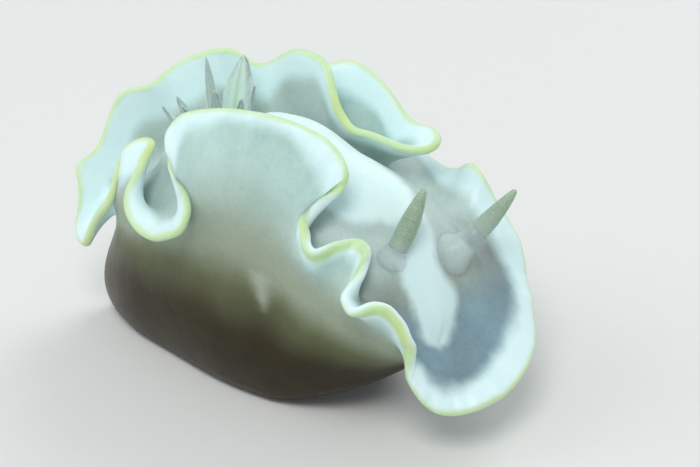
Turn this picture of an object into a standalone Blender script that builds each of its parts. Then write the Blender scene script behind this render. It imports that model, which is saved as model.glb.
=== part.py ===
# A life-size still model of a Glossodoris buko sea slug, humped up with its mantle ruffled.
# Millimetres in the tables, metres in the finished meshes. +X is the head end, +Y its left, +Z up.

import math

import bmesh
import bpy
import numpy as np
from mathutils import Vector
from mathutils.bvhtree import BVHTree

MM = 0.001

# The middle of the flat sole, which is put at the origin.
SOLE_X = -8.0

# Gap left between neighbouring pieces.
GAP = 0.30

# Thickness of the mantle skirt at its root and at its rim.
SKIRT_ROOT = 0.92
SKIRT_RIM = 0.58
SKIRT_LEAST = 0.48

# Rim of the mantle, one row a fold or notch: name, turn round the body, x, y, z.
# Turn 0 is the front, 0.25 the right side, 0.5 the tail and 0.75 the left side.
RIM = (
    ("front lobe middle", 0.000, 11.2, -2.7, 3.6),
    ("front lobe right", 0.022, 9.6, -4.0, 3.4),
    ("front lobe right corner", 0.042, 8.2, -4.4, 4.5),
    ("right notch 1", 0.058, 7.7, -4.5, 5.9),
    ("right fold 1 lip", 0.072, 8.1, -4.5, 7.4),
    ("right fold 1 crest", 0.086, 7.5, -5.1, 9.1),
    ("right fold 1 back", 0.098, 6.4, -5.7, 10.3),
    ("right notch 2 front", 0.110, 5.5, -6.4, 9.3),
    ("right notch 2", 0.122, 4.5, -6.5, 10.1),
    ("right fold 2 front", 0.134, 4.3, -5.1, 10.6),
    ("right fold 2 crest", 0.148, 4.4, -3.7, 11.6),
    ("right fold 2 back", 0.162, 3.4, -3.4, 12.2),
    ("right notch 3 front", 0.176, 2.4, -4.7, 12.1),
    ("right notch 3", 0.190, 2.1, -6.1, 12.1),
    ("right notch 3 back", 0.202, 1.1, -5.8, 12.7),
    ("right wall foot", 0.213, 0.5, -4.8, 13.7),
    ("right wall front", 0.224, 1.1, -4.0, 14.5),
    ("right wall corner", 0.238, 1.9, -2.8, 15.4),
    ("right wall 1", 0.254, 0.4, -2.1, 16.7),
    ("right wall 2", 0.275, -1.9, -2.5, 17.6),
    ("right wall 3", 0.300, -5.3, -3.4, 17.9),
    ("right wall 4", 0.320, -8.1, -4.0, 17.4),
    ("right wall 5", 0.332, -9.8, -4.3, 16.6),
    ("cup front top", 0.342, -10.5, -4.7, 15.4),
    ("cup front", 0.352, -9.4, -5.6, 14.0),
    ("cup front low", 0.362, -7.4, -6.3, 12.9),
    ("cup lip front", 0.372, -6.6, -7.2, 11.8),
    ("cup lip", 0.383, -7.7, -8.3, 10.8),
    ("cup lip back", 0.395, -10.4, -7.8, 10.7),
    ("cup back", 0.407, -12.7, -6.2, 11.5),
    ("cup back high", 0.419, -13.0, -4.5, 12.6),
    ("cup back top", 0.432, -13.6, -2.5, 13.6),
    ("rear fold top", 0.444, -15.5, -2.8, 12.9),
    ("rear fold side", 0.454, -16.0, -3.5, 11.8),
    ("rear notch", 0.465, -15.6, -4.4, 9.8),
    ("rear notch low", 0.475, -17.3, -4.5, 8.0),
    ("tail lobe right", 0.485, -18.2, -4.6, 5.4),
    ("tail lobe back", 0.496, -19.8, -4.0, 5.8),
    ("tail lobe waist", 0.510, -19.6, -3.3, 8.2),
    ("tail lobe crest", 0.524, -20.3, -2.9, 10.1),
    ("tail lobe left", 0.538, -20.0, -1.3, 10.5),
    ("rear left notch", 0.550, -20.0, -0.4, 11.8),
    ("rear left fold", 0.562, -19.5, 0.6, 14.3),
    ("rear left fold top", 0.578, -18.3, 2.0, 14.4),
    ("left wall rear 1", 0.592, -18.3, 3.6, 14.9),
    ("left wall rear 2", 0.610, -16.6, 4.7, 16.2),
    ("left wall rear 3", 0.630, -14.1, 5.5, 17.0),
    ("left notch 1", 0.648, -12.6, 6.7, 15.7),
    ("left peak", 0.664, -9.7, 6.4, 17.8),
    ("left wall 2", 0.680, -6.7, 6.1, 17.8),
    ("left pod near top", 0.692, -5.6, 5.3, 16.9),
    ("left pod near", 0.704, -4.2, 4.6, 14.5),
    ("left pod near low", 0.716, -2.1, 5.2, 14.5),
    ("left pod near front", 0.727, -0.4, 5.3, 13.9),
    ("left pod lip", 0.739, 1.5, 6.8, 13.8),
    ("left pod tip", 0.749, 0.6, 8.0, 14.7),
    ("left pod far low", 0.757, -1.6, 8.2, 13.9),
    ("left pod far", 0.766, -2.9, 8.6, 15.2),
    ("left pod far top", 0.775, -5.5, 8.8, 16.9),
    ("left pod back top", 0.782, -7.3, 8.6, 17.0),
    ("left pod back", 0.789, -9.3, 8.4, 15.8),
    ("left behind pod", 0.799, -7.8, 10.3, 13.9),
    ("left behind low", 0.812, -2.4, 10.4, 11.3),
    ("left front notch", 0.826, 1.2, 9.0, 11.2),
    ("left front crest", 0.846, 3.3, 8.2, 12.8),
    ("left front side", 0.868, 5.1, 8.1, 10.6),
    ("left front corner", 0.892, 7.0, 7.8, 8.7),
    ("left lobe side", 0.920, 8.8, 6.2, 6.4),
    ("left lobe low", 0.948, 10.9, 3.8, 4.9),
    ("front lobe left", 0.975, 11.9, -0.2, 4.0),
)

# Shoulder of the body where the mantle leaves it: turn, x, y, z.
ROOT = (
    (0.00, 7.8, -1.7, 5.6),
    (0.07, 6.5, -3.7, 7.1),
    (0.14, 3.6, -4.8, 8.9),
    (0.19, 1.5, -5.2, 9.8),
    (0.215, 0.0, -5.3, 10.2),
    (0.24, -2.0, -5.5, 10.5),
    (0.27, -3.2, -5.6, 10.7),
    (0.31, -4.8, -5.6, 10.8),
    (0.35, -6.6, -5.6, 10.8),
    (0.37, -8.0, -5.5, 10.6),
    (0.395, -10.6, -5.2, 10.1),
    (0.42, -13.0, -4.7, 9.4),
    (0.45, -15.2, -3.9, 8.7),
    (0.50, -17.4, -2.0, 7.8),
    (0.55, -16.8, 0.6, 8.8),
    (0.62, -13.0, 3.6, 10.4),
    (0.70, -7.0, 5.2, 10.7),
    (0.78, -1.0, 5.4, 10.2),
    (0.86, 4.2, 4.9, 9.5),
    (0.93, 7.4, 2.8, 7.8),
)

# Edge of the foot: turn, x, y. Its height follows the sole.
FOOT = (
    (0.00, 5.2, 0.0),
    (0.07, 4.4, -2.4),
    (0.15, 1.8, -4.2),
    (0.22, -1.8, -5.3),
    (0.30, -5.6, -5.6),
    (0.38, -10.6, -5.0),
    (0.45, -15.4, -4.1),
    (0.50, -18.5, -2.2),
    (0.55, -17.0, 0.2),
    (0.62, -12.4, 2.8),
    (0.70, -6.8, 4.6),
    (0.78, -1.2, 4.8),
    (0.86, 2.6, 3.8),
    (0.93, 4.6, 2.0),
)

# Ridge of the back from tail to head: share of the way, x, y, z.
RIDGE = (
    (0.00, -16.4, -1.6, 9.4),
    (0.14, -14.4, -0.4, 11.6),
    (0.30, -10.6, 0.7, 13.9),
    (0.42, -7.6, 0.9, 16.0),
    (0.50, -5.4, 1.0, 16.5),
    (0.57, -3.6, 1.2, 16.3),
    (0.64, -1.8, 1.3, 15.2),
    (0.76, 1.8, 1.5, 13.9),
    (0.87, 5.2, 0.8, 11.7),
    (0.95, 7.2, -0.6, 8.9),
    (1.00, 8.0, -1.6, 6.7),
)

# The sole is flat behind this point and lifts off the floor ahead of it, by this much at the head.
SOLE_LIFT_START = -2.0
SOLE_LIFT_END = 5.2
SOLE_LIFT = 3.0
FOOT_EDGE = 0.45

# Small flats that the foot rests on, as turns, and how far the rest of the sole stands clear of them.
REST_FLATS = (0.241, 0.404, 0.500, 0.624, 0.759)
REST_FLAT_HALF = 0.010
SOLE_CLEAR = 0.10

# How far the flanks swell out past a straight line from shoulder to foot.
FLANK_SWELL = 1.3

# Feelers on the head: root and tip, widths, sheath.
RHINO_RIGHT = ((4.5, -1.7, 10.9), (5.4, 0.1, 14.9))
RHINO_LEFT = ((7.0, 1.9, 10.6), (8.35, 5.3, 13.7))
RHINO_RADIUS = 0.66
FEELER_RINGS = 13

# Mouth below the front of the mantle, and the pore on the right flank.
MOUTH = np.array([7.4, -1.3, 4.7])
MOUTH_GAP = 2.0
FLANK_PORE = np.array([-1.7, -5.9, 8.6])

# Gills round the vent: direction in degrees, reach outward and height of each plume.
GILL_CENTRE = (-11.9, 1.1, 13.2)
GILL_CIRCLE = 1.5
GILLS = (
    (92, 3.3, 4.4),
    (138, 3.4, 4.0),
    (182, 3.0, 1.9),
    (-138, 3.2, 2.1),
    (-88, 3.0, 3.0),
    (-44, 2.4, 4.0),
    (2, 2.4, 3.1),
    (48, 2.7, 3.2),
)
GILL_STEM = 0.36
LEAFLET_PAIRS = 5
LEAFLET_LENGTH = 0.72
LEAFLET_RADIUS = 0.25
GILL_POCKET = 3.3


def unit(a):
    return a / np.maximum(np.linalg.norm(a, axis=-1, keepdims=True), 1e-9)


def closed_spline(rows, samples):
    """Smooth loop through rows that end in turn, x, y, z."""
    p = np.array([r[-3:] for r in rows], float)
    t = np.array([r[-4] for r in rows], float)
    n = len(p)
    step = np.linalg.norm(np.roll(p, -1, 0) - p, axis=1) ** 0.5
    share = np.linspace(0, 1, max(4, samples // n), endpoint=False)
    turns = []
    points = []
    for i in range(n):
        at = [(i - 1) % n, i, (i + 1) % n, (i + 2) % n]
        a, b, c, d = p[at]
        k1 = step[at[0]]
        k2 = k1 + step[at[1]]
        k3 = k2 + step[at[2]]
        u = (k1 + (k2 - k1) * share)[:, None]
        a1 = (k1 - u) / k1 * a + u / k1 * b
        a2 = (k2 - u) / (k2 - k1) * b + (u - k1) / (k2 - k1) * c
        a3 = (k3 - u) / (k3 - k2) * c + (u - k2) / (k3 - k2) * d
        b1 = (k2 - u) / k2 * a1 + u / k2 * a2
        b2 = (k3 - u) / (k3 - k1) * a2 + (u - k1) / (k3 - k1) * a3
        points.append((k2 - u) / (k2 - k1) * b1 + (u - k1) / (k2 - k1) * b2)
        last = t[(i + 1) % n] + (1.0 if i == n - 1 else 0.0)
        turns.append(t[i] + (last - t[i]) * share)
    return np.concatenate(turns), np.concatenate(points)


def at_turn(loop, turns):
    """Points of a loop at any turns, which may lie past 0 or 1."""
    t, p = loop
    t3 = np.concatenate([t - 1, t, t + 1])
    p3 = np.concatenate([p, p, p])
    wrapped = np.mod(turns, 1.0)
    return np.stack([np.interp(wrapped, t3, p3[:, k]) for k in range(3)], -1)


def blurred(loop, width):
    """The loop with waves shorter than width (in turns) smoothed away."""
    n = 2048
    even = np.arange(n) / n
    flat = at_turn(loop, even)
    wave = np.fft.rfftfreq(n, 1 / n)
    keep = np.exp(-0.5 * (2 * np.pi * wave * width) ** 2)
    return even, np.fft.irfft(np.fft.rfft(flat, axis=0) * keep[:, None], n, axis=0)


def open_spline(rows, samples):
    """Smooth line through rows of share, x, y, z."""
    p = np.array([r[1:] for r in rows], float)
    t = np.array([r[0] for r in rows], float)
    p = np.vstack([2 * p[0] - p[1], p, 2 * p[-1] - p[-2]])
    share = np.linspace(0, 1, samples, endpoint=False)[:, None]
    points = []
    places = []
    for i in range(len(t) - 1):
        a, b, c, d = p[i:i + 4]
        x = share
        near = (2 * x**3 - 3 * x**2 + 1) * b + (x**3 - 2 * x**2 + x) * (c - a) / 2
        points.append(near + (-2 * x**3 + 3 * x**2) * c + (x**3 - x**2) * (d - b) / 2)
        places.append(t[i] + (t[i + 1] - t[i]) * x[:, 0])
    points.append(p[-2:-1])
    places.append(t[-1:])
    return np.concatenate(places), np.concatenate(points)


RIM_LOOP = blurred(closed_spline(RIM, 8000), 0.0028)
RIM_WIDE = blurred(RIM_LOOP, 0.030)
RIM_MID = blurred(RIM_LOOP, 0.011)
ROOT_LOOP = blurred(closed_spline(ROOT, 2000), 0.012)
RIDGE_LINE = open_spline(RIDGE, 40)


def sole_height(x):
    share = np.clip((x - SOLE_LIFT_START) / (SOLE_LIFT_END - SOLE_LIFT_START), 0.0, 1.3)
    return SOLE_LIFT * share**1.3


def foot_point(turns):
    rows = [(t, x, y, 0.0) for t, x, y in FOOT]
    p = at_turn(closed_spline(rows, 2000), turns)
    p[..., 2] = sole_height(p[..., 0]) + FOOT_EDGE
    return p


def ridge_point(turns):
    share = np.abs(np.mod(turns, 1.0) - 0.5) * 2
    s, p = RIDGE_LINE
    return np.stack([np.interp(share, s, p[:, k]) for k in range(3)], -1)


def outward(turns):
    """Level direction pointing out of the body at the shoulder."""
    step = 0.01
    run = at_turn(ROOT_LOOP, turns + step) - at_turn(ROOT_LOOP, turns - step)
    level = np.stack([run[..., 1], -run[..., 0], 0 * run[..., 0]], -1)
    return -unit(level)


def bezier(a, b, c, d, v):
    return (1 - v)**3 * a + 3 * (1 - v)**2 * v * b + 3 * (1 - v) * v**2 * c + v**3 * d


def swing_out(turns):
    """How strongly the skirt first leaves the body sideways, least at the left pod."""
    return (0.8 - 0.6 * np.exp(-((np.mod(turns, 1.0) - 0.728) / 0.045) ** 2))[..., None]


def skirt(turns, v):
    """Middle surface of the mantle skirt, v from 0 at the shoulder to 1 at the rim."""
    rim = at_turn(RIM_LOOP, turns)
    wide = at_turn(RIM_WIDE, turns)
    mid = at_turn(RIM_MID, turns)
    root = at_turn(ROOT_LOOP, turns)
    out = outward(turns)
    length = np.linalg.norm(wide - root, axis=-1, keepdims=True)
    swing = swing_out(turns)
    start = unit(unit(wide - root) + swing * out)
    first = root + start * length * 0.36
    second = root + (mid - root) * 0.70 + out * length * swing * 0.12
    return bezier(root, first, second, rim, v[..., None])


def skirt_normal(turns, v):
    """Normal on the back side of the skirt."""
    along = skirt(turns + 0.003, v) - skirt(turns - 0.003, v)
    up = skirt(turns, np.minimum(v + 0.02, 1.0)) - skirt(turns, v - 0.02)
    return unit(np.cross(up, along))


def flank(turns, q):
    """Side of the body, q from 0 at the shoulder to 1 at the edge of the foot."""
    top = at_turn(ROOT_LOOP, turns)
    foot = foot_point(turns)
    out = outward(turns)
    drop = top[..., 2:] - foot[..., 2:]
    swell = FLANK_SWELL * np.clip(drop / 9.0, 0.15, 1.0)
    high = top + out * swell * 0.8 - np.array([0, 0, 0.38]) * drop
    low = foot + out * swell * 1.1 + np.array([0, 0, 0.30]) * drop
    return bezier(top, high, low, foot, q[..., None])


def back(turns, q):
    """Top of the body, q from 0 on the ridge to 1 at the shoulder."""
    ridge = ridge_point(turns)
    top = at_turn(ROOT_LOOP, turns)
    span = top - ridge
    level = span * np.array([1, 1, 0.0])
    across = (top - at_turn(ROOT_LOOP, 1 - turns)) * np.array([1, 1, 0.0])
    wide = np.linalg.norm(across, axis=-1, keepdims=True)
    share = np.clip(wide / 4.0, 0.0, 1.0)
    way = unit(share * unit(across) + (1 - share) * unit(level))
    left = np.exp(-((np.mod(turns, 1.0) - 0.76) / 0.10) ** 2)[..., None]
    first = ridge + way * np.linalg.norm(level, axis=-1, keepdims=True) * (0.45 - 0.25 * left)
    second = top - level * 0.10 - span * np.array([0, 0, 1.0]) * (0.42 - 0.30 * left)
    return bezier(ridge, first, second, top, q[..., None])


def sole(turns, q):
    """Underside, q from 0 at the edge of the foot to 1 on its middle line."""
    foot = foot_point(turns)
    share = np.abs(np.mod(turns, 1.0) - 0.5) * 2
    tail = np.array([-17.2, -1.6, 0.0])
    head = np.array([4.2, 0.1, 0.0])
    line = tail + (head - tail) * share[..., None]
    p = foot + (line - foot) * q[..., None]
    ground = sole_height(p[..., 0])
    turn_under = np.clip(1 - q / 0.16, 0.0, 1.0) ** 2
    nearest = np.min([np.abs(np.mod(turns, 1.0) - flat) for flat in REST_FLATS], axis=0)
    at_flat = np.clip((REST_FLAT_HALF - nearest) / 0.003 + 1, 0.0, 1.0) * np.clip((0.72 - q) / 0.28, 0.0, 1.0)
    in_middle = np.clip((q - 0.44) / 0.28, 0.0, 1.0) * np.clip(5.5 - np.abs(p[..., 0] - SOLE_X), 0.0, 1.0)
    clear = SOLE_CLEAR * (1 - np.maximum(at_flat, in_middle)) * (1 - turn_under)
    p[..., 2] = ground + FOOT_EDGE * turn_under + clear
    return p


def even_turns(count):
    """Turns mirrored about the midline, closer together where the rim is long."""
    fine = np.linspace(0, 1, 2001)
    r = at_turn(RIM_LOOP, fine)
    pace = np.linalg.norm(np.gradient(r, fine, axis=0), axis=1)
    pace = np.maximum(pace, pace[::-1]) + 0.5 * pace.mean()
    pace = np.convolve(np.pad(pace, 15, mode="wrap"), np.ones(31) / 31, "valid")
    half = fine <= 0.5
    total = np.concatenate([[0], np.cumsum((pace[half][1:] + pace[half][:-1]) / 2)])
    first = np.interp(np.linspace(0, total[-1], count // 2 + 1), total, fine[half])
    return np.concatenate([first, 1 - first[-2:0:-1]])


def material(name, colour, roughness):
    found = bpy.data.materials.new(name)
    found.use_nodes = True
    shader = found.node_tree.nodes["Principled BSDF"]
    shader.inputs["Base Color"].default_value = (*colour, 1.0)
    shader.inputs["Roughness"].default_value = roughness
    found.diffuse_color = (*colour, 1.0)
    return found


def make_object(name, points, faces, colour=(0.8, 0.85, 0.8), roughness=0.35, temporary=False):
    """Mesh object from points in millimetres, faces turned outward."""
    shifted = np.asarray(points, float) - np.array([SOLE_X, 0, 0])
    mesh = bpy.data.meshes.new(name)
    mesh.from_pydata((shifted * MM).tolist(), [], faces)
    mesh.validate()
    bm = bmesh.new()
    bm.from_mesh(mesh)
    bmesh.ops.recalc_face_normals(bm, faces=bm.faces)
    if bm.calc_volume(signed=True) < 0:
        bmesh.ops.reverse_faces(bm, faces=bm.faces)
    bm.to_mesh(mesh)
    bm.free()
    obj = bpy.data.objects.new(name, mesh)
    bpy.context.scene.collection.objects.link(obj)
    if not temporary:
        mesh.materials.append(material(name, colour, roughness))
    return obj


def apply_modifiers(obj):
    """Bake the object's modifiers into its mesh."""
    graph = bpy.context.evaluated_depsgraph_get()
    graph.update()
    baked = bpy.data.meshes.new_from_object(obj.evaluated_get(graph))
    obj.modifiers.clear()
    obj.data = baked


def boolean(obj, other, operation, folded=False):
    """Cut or join; folded also clears up a plate that touches itself."""
    mod = obj.modifiers.new(operation.lower(), "BOOLEAN")
    mod.operation = operation
    mod.object = other
    mod.solver = "EXACT"
    mod.use_self = folded
    apply_modifiers(obj)


def keep_largest(obj):
    """Keep only the piece with the largest volume."""
    bm = bmesh.new()
    bm.from_mesh(obj.data)
    bmesh.ops.remove_doubles(bm, verts=bm.verts, dist=2e-6)
    bmesh.ops.triangulate(bm, faces=bm.faces)
    bm.faces.ensure_lookup_table()
    seen = set()
    islands = []
    for face in bm.faces:
        if face.index in seen:
            continue
        island = []
        stack = [face]
        seen.add(face.index)
        while stack:
            f = stack.pop()
            island.append(f)
            for edge in f.edges:
                for g in edge.link_faces:
                    if g.index not in seen:
                        seen.add(g.index)
                        stack.append(g)
        islands.append(island)

    def volume(island):
        total = 0.0
        for f in island:
            a, b, c = (v.co for v in f.verts)
            total += a.dot(b.cross(c)) / 6
        return abs(total)

    islands.sort(key=volume, reverse=True)
    loose = [f for island in islands[1:] for f in island]
    bmesh.ops.delete(bm, geom=loose, context="FACES")
    bmesh.ops.delete(bm, geom=[v for v in bm.verts if not v.link_faces], context="VERTS")
    bmesh.ops.recalc_face_normals(bm, faces=bm.faces)
    bm.to_mesh(obj.data)
    bm.free()


def grow(obj, by):
    """Push every point of a smooth closed mesh outward."""
    bm = bmesh.new()
    bm.from_mesh(obj.data)
    bm.normal_update()
    moves = [(v, v.normal.copy()) for v in bm.verts]
    for v, normal in moves:
        v.co += normal * by * MM
    bm.to_mesh(obj.data)
    bm.free()


def copy_of(obj, name):
    twin = obj.copy()
    twin.data = obj.data.copy()
    twin.name = name
    bpy.context.scene.collection.objects.link(twin)
    return twin


def hit_from(obj, start, way):
    """Where a straight line from a point in millimetres first meets the object."""
    bm = bmesh.new()
    bm.from_mesh(obj.data)
    tree = BVHTree.FromBMesh(bm)
    bm.free()
    origin = Vector((np.asarray(start) - np.array([SOLE_X, 0, 0])) * MM)
    place = tree.ray_cast(origin, Vector(way))[0]
    return np.array(place) / MM + np.array([SOLE_X, 0, 0])


def drop(*objects):
    for obj in objects:
        bpy.data.objects.remove(obj, do_unlink=True)


def body_mesh(name, columns=64, back_rows=9, flank_rows=8, sole_rows=4):
    """Whole body without its mantle skirt, as one closed surface."""
    turns = even_turns(columns)
    rows = []
    for q in np.linspace(0, 1, back_rows)[:-1]:
        rows.append(back(turns, np.full(columns, q)))
    for q in np.linspace(0, 1, flank_rows)[:-1]:
        rows.append(flank(turns, np.full(columns, q)))
    for q in (0.0, 0.06, 0.16, *np.linspace(0.16, 1, sole_rows)[1:]):
        rows.append(sole(turns, np.full(columns, q)))
    half = columns // 2
    points = []
    index = []
    for row, p in enumerate(rows):
        zipped = row == 0 or row == len(rows) - 1
        ids = []
        for i in range(columns):
            if zipped and i > half:
                ids.append(ids[columns - i])
                continue
            ids.append(len(points))
            points.append(p[i])
        index.append(ids)
    faces = []
    for j in range(len(rows) - 1):
        for i in range(columns):
            k = (i + 1) % columns
            quad = [index[j][i], index[j][k], index[j + 1][k], index[j + 1][i]]
            ring = [q for n, q in enumerate(quad) if q != quad[n - 1]]
            if len(set(ring)) >= 3:
                faces.append(ring)
    return make_object(name, points, faces, temporary=True)


def prism(name, outline, low, high, axis="y"):
    """Closed prism from an outline in the x-z plane (axis y) or the x-y plane (axis z)."""
    n = len(outline)
    points = []
    for level in (low, high):
        for a, b in outline:
            points.append((a, level, b) if axis == "y" else (a, b, level))
    faces = [list(range(n)), list(range(2 * n - 1, n - 1, -1))]
    for i in range(n):
        k = (i + 1) % n
        faces.append([i, k, n + k, n + i])
    return make_object(name, points, faces, temporary=True)


def body_part(body, name, outline, side, colour):
    """The part of the body inside a prism drawn in side view, on one side or both."""
    low, high = side
    cutter = prism("cutter", outline, low, high)
    part = copy_of(body, name)
    part.data.materials.clear()
    part.data.materials.append(material(name, colour, 0.35))
    boolean(part, cutter, "INTERSECT")
    keep_largest(part)
    drop(cutter)
    return part


def softened(grid, rounds):
    """A grid of directions with each evened out with its neighbours."""
    for _ in range(rounds):
        for axis in (0, 1):
            ends = [(1, 1) if k == axis else (0, 0) for k in range(3)]
            wide = np.pad(grid, ends, mode="edge")
            low = np.take(wide, range(grid.shape[axis]), axis)
            high = np.take(wide, range(2, grid.shape[axis] + 2), axis)
            grid = unit(low + 2 * grid + high)
    return grid


def fitted_half(middle, normal, half):
    """Half thickness, less where the plate bends tightly, so that its inner face doesn't cross itself."""
    tight = half[..., 0].copy()
    for axis in (0, 1):
        run = np.linalg.norm(np.diff(middle, axis=axis), axis=-1)
        turn = np.linalg.norm(np.diff(normal, axis=axis), axis=-1)
        radius = 0.62 * run / np.maximum(turn, 1e-6)
        ends = [(1, 1) if k == axis else (0, 0) for k in range(2)]
        wide = np.pad(radius, ends, mode="edge")
        size = middle.shape[axis]
        near = np.minimum(np.take(wide, range(size), axis), np.take(wide, range(1, size + 1), axis))
        tight = np.minimum(tight, near)
    return np.maximum(tight, SKIRT_LEAST / 2)[..., None]


def skirt_length(name, start, end, columns, rows, colour):
    """One length of the mantle skirt as a closed curved plate, thinner toward a rounded rim."""
    v = np.linspace(-0.10, 1.0, rows)
    v = np.where(v > 0, np.abs(v) ** 0.9, v)
    pace = np.linalg.norm(skirt(np.full(rows, start) + 0.002, v) - skirt(np.full(rows, start) - 0.002, v), axis=1)
    first = start + GAP / 2 / (pace / 0.004)
    pace = np.linalg.norm(skirt(np.full(rows, end) + 0.002, v) - skirt(np.full(rows, end) - 0.002, v), axis=1)
    last = end - GAP / 2 / (pace / 0.004)
    share = np.linspace(0, 1, columns)[:, None]
    turns = first[None, :] + (last - first)[None, :] * share
    grid_v = np.repeat(v[None, :], columns, 0)
    middle = skirt(turns, grid_v)
    normal = softened(skirt_normal(turns, np.clip(grid_v, 0.02, 1.0)), 2)
    half = (SKIRT_ROOT + (SKIRT_RIM - SKIRT_ROOT) * np.clip(grid_v, 0, 1) ** 0.6)[..., None] / 2
    half = fitted_half(middle, normal, half)
    tip = unit(middle[:, -1] - middle[:, -2]) * SKIRT_RIM * 0.42 + middle[:, -1]
    top = middle + normal * half
    under = middle - normal * half
    points = []
    loops = []
    for i in range(columns):
        ring = [*under[i], tip[i], *top[i][::-1]]
        loops.append([len(points) + k for k in range(len(ring))])
        points.extend(ring)
    faces = []
    size = len(loops[0])
    for i in range(columns - 1):
        a = loops[i]
        b = loops[i + 1]
        for k in range(size):
            m = (k + 1) % size
            lean = k < size // 2
            if lean:
                faces.append([a[k], a[m], b[m]])
                faces.append([a[k], b[m], b[k]])
            else:
                faces.append([a[k], a[m], b[k]])
                faces.append([a[m], b[m], b[k]])
    for ring, flip in ((loops[0], False), (loops[-1], True)):
        for k in range(rows - 1):
            quad = [ring[k], ring[k + 1], ring[size - 2 - k], ring[size - 1 - k]]
            faces.append(quad[::-1] if flip else quad)
        end_cap = [ring[rows - 1], ring[rows], ring[rows + 1]]
        faces.append(end_cap[::-1] if flip else end_cap)
    return make_object(name, points, faces, colour)


def tube(name, line, radii, sides, colour, flat=1.0, flat_axis=None, temporary=False):
    """Closed tapering tube along a line of points, round or flattened."""
    line = np.asarray(line, float)
    points = []
    run = unit(np.gradient(line, axis=0))
    across = np.asarray(flat_axis if flat_axis is not None else (0.31, 0.77, 0.55), float)
    for p, d, r in zip(line, run, radii):
        a = unit(across - d * np.dot(across, d))
        b = np.cross(d, a)
        for k in range(sides):
            angle = 2 * math.pi * k / sides
            points.append(p + (a * math.cos(angle) + b * math.sin(angle) * flat) * r)
    points.append(line[0] - run[0] * radii[0] * 0.3)
    points.append(line[-1] + run[-1] * radii[-1] * 0.7)
    n = len(line)
    faces = []
    for j in range(n - 1):
        for k in range(sides):
            m = (k + 1) % sides
            faces.append([j * sides + k, j * sides + m, (j + 1) * sides + m, (j + 1) * sides + k])
    for k in range(sides):
        m = (k + 1) % sides
        faces.append([n * sides, m, k])
        faces.append([n * sides + 1, (n - 1) * sides + k, (n - 1) * sides + m])
    return make_object(name, points, faces, colour, temporary=temporary)


def ring_tube(name, centre, normal, radius, thick, high, sides, steps, colour):
    """Low collar round a feeler or the gills."""
    n = unit(np.asarray(normal, float))
    a = unit(np.cross(n, (0.2, 1.0, 0.1)))
    b = np.cross(n, a)
    c = np.asarray(centre, float)
    points = []
    for i in range(steps):
        angle = 2 * math.pi * i / steps
        out = a * math.cos(angle) + b * math.sin(angle)
        for k in range(sides):
            turn = 2 * math.pi * k / sides
            points.append(c + out * (radius + thick * math.cos(turn)) + n * high * math.sin(turn))
    faces = []
    for i in range(steps):
        j = (i + 1) % steps
        for k in range(sides):
            m = (k + 1) % sides
            faces.append([i * sides + k, i * sides + m, j * sides + m, j * sides + k])
    return make_object(name, points, faces, colour)


def curve_between(root, tip, bend, steps):
    """Line from root to tip that starts upright along bend."""
    root = np.asarray(root, float)
    tip = np.asarray(tip, float)
    s = np.linspace(0, 1, steps)[:, None]
    mid = (root + tip) / 2 + np.asarray(bend, float)
    return (1 - s)**2 * root + 2 * (1 - s) * s * mid + s**2 * tip


def join_pieces(obj, pieces):
    """Join overlapping pieces to an object with one union."""
    group = bpy.data.collections.new("pieces")
    for piece in pieces:
        bpy.context.scene.collection.objects.unlink(piece)
        group.objects.link(piece)
    bpy.context.scene.collection.children.link(group)
    mod = obj.modifiers.new("join", "BOOLEAN")
    mod.operation = "UNION"
    mod.operand_type = "COLLECTION"
    mod.collection = group
    mod.solver = "EXACT"
    apply_modifiers(obj)
    drop(*pieces)
    bpy.data.collections.remove(group)


def gill_plume(name, root, tip, out, colour):
    """One gill: a flattened stem with pairs of leaflets, shorter toward the tip."""
    steps = 9
    line = curve_between(root, tip, -out * 0.25, steps)
    widths = np.interp(np.linspace(0, 1, steps), (0, 0.4, 1.0), (1.0, 1.1, 0.72)) * GILL_STEM
    side = unit(np.cross(tip - root, out))
    stem = tube(name, line, widths, 7, colour, 0.75, side)
    leaflets = []
    for pair in range(LEAFLET_PAIRS):
        share = 0.44 + 0.44 * pair / (LEAFLET_PAIRS - 1)
        place = share * (steps - 1)
        start = line[int(place)] + (line[min(int(place) + 1, steps - 1)] - line[int(place)]) * (place % 1)
        length = LEAFLET_LENGTH * (1.0 - 0.62 * (pair / (LEAFLET_PAIRS - 1)) ** 1.3)
        for sign in (-1, 1):
            way = unit(side * sign * 0.85 + unit(tip - root) * 0.5)
            end = start + way * (GILL_STEM * 0.75 + length)
            thick = LEAFLET_RADIUS * (1.0 - 0.2 * pair / LEAFLET_PAIRS)
            leaf = curve_between(start, end, (0, 0, 0), 3)
            leaflets.append(tube("leaflet", leaf, (thick, thick, thick * 0.6), 4, colour, temporary=True))
    join_pieces(stem, leaflets)
    keep_largest(stem)
    return stem


def feeler_widths(share):
    """Width of a feeler along its length, with the rings that its leaves make."""
    club = np.interp(share, (0, 0.2, 0.45, 0.7, 0.92, 1.0), (0.7, 0.68, 1.0, 0.84, 0.46, 0.3))
    ringed = np.interp(share, (0.22, 0.34, 0.9, 0.96), (0, 1, 1, 0))
    return club * (1 - 0.16 * ringed * (0.5 - 0.5 * np.cos(2 * math.pi * share * FEELER_RINGS)))


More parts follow.
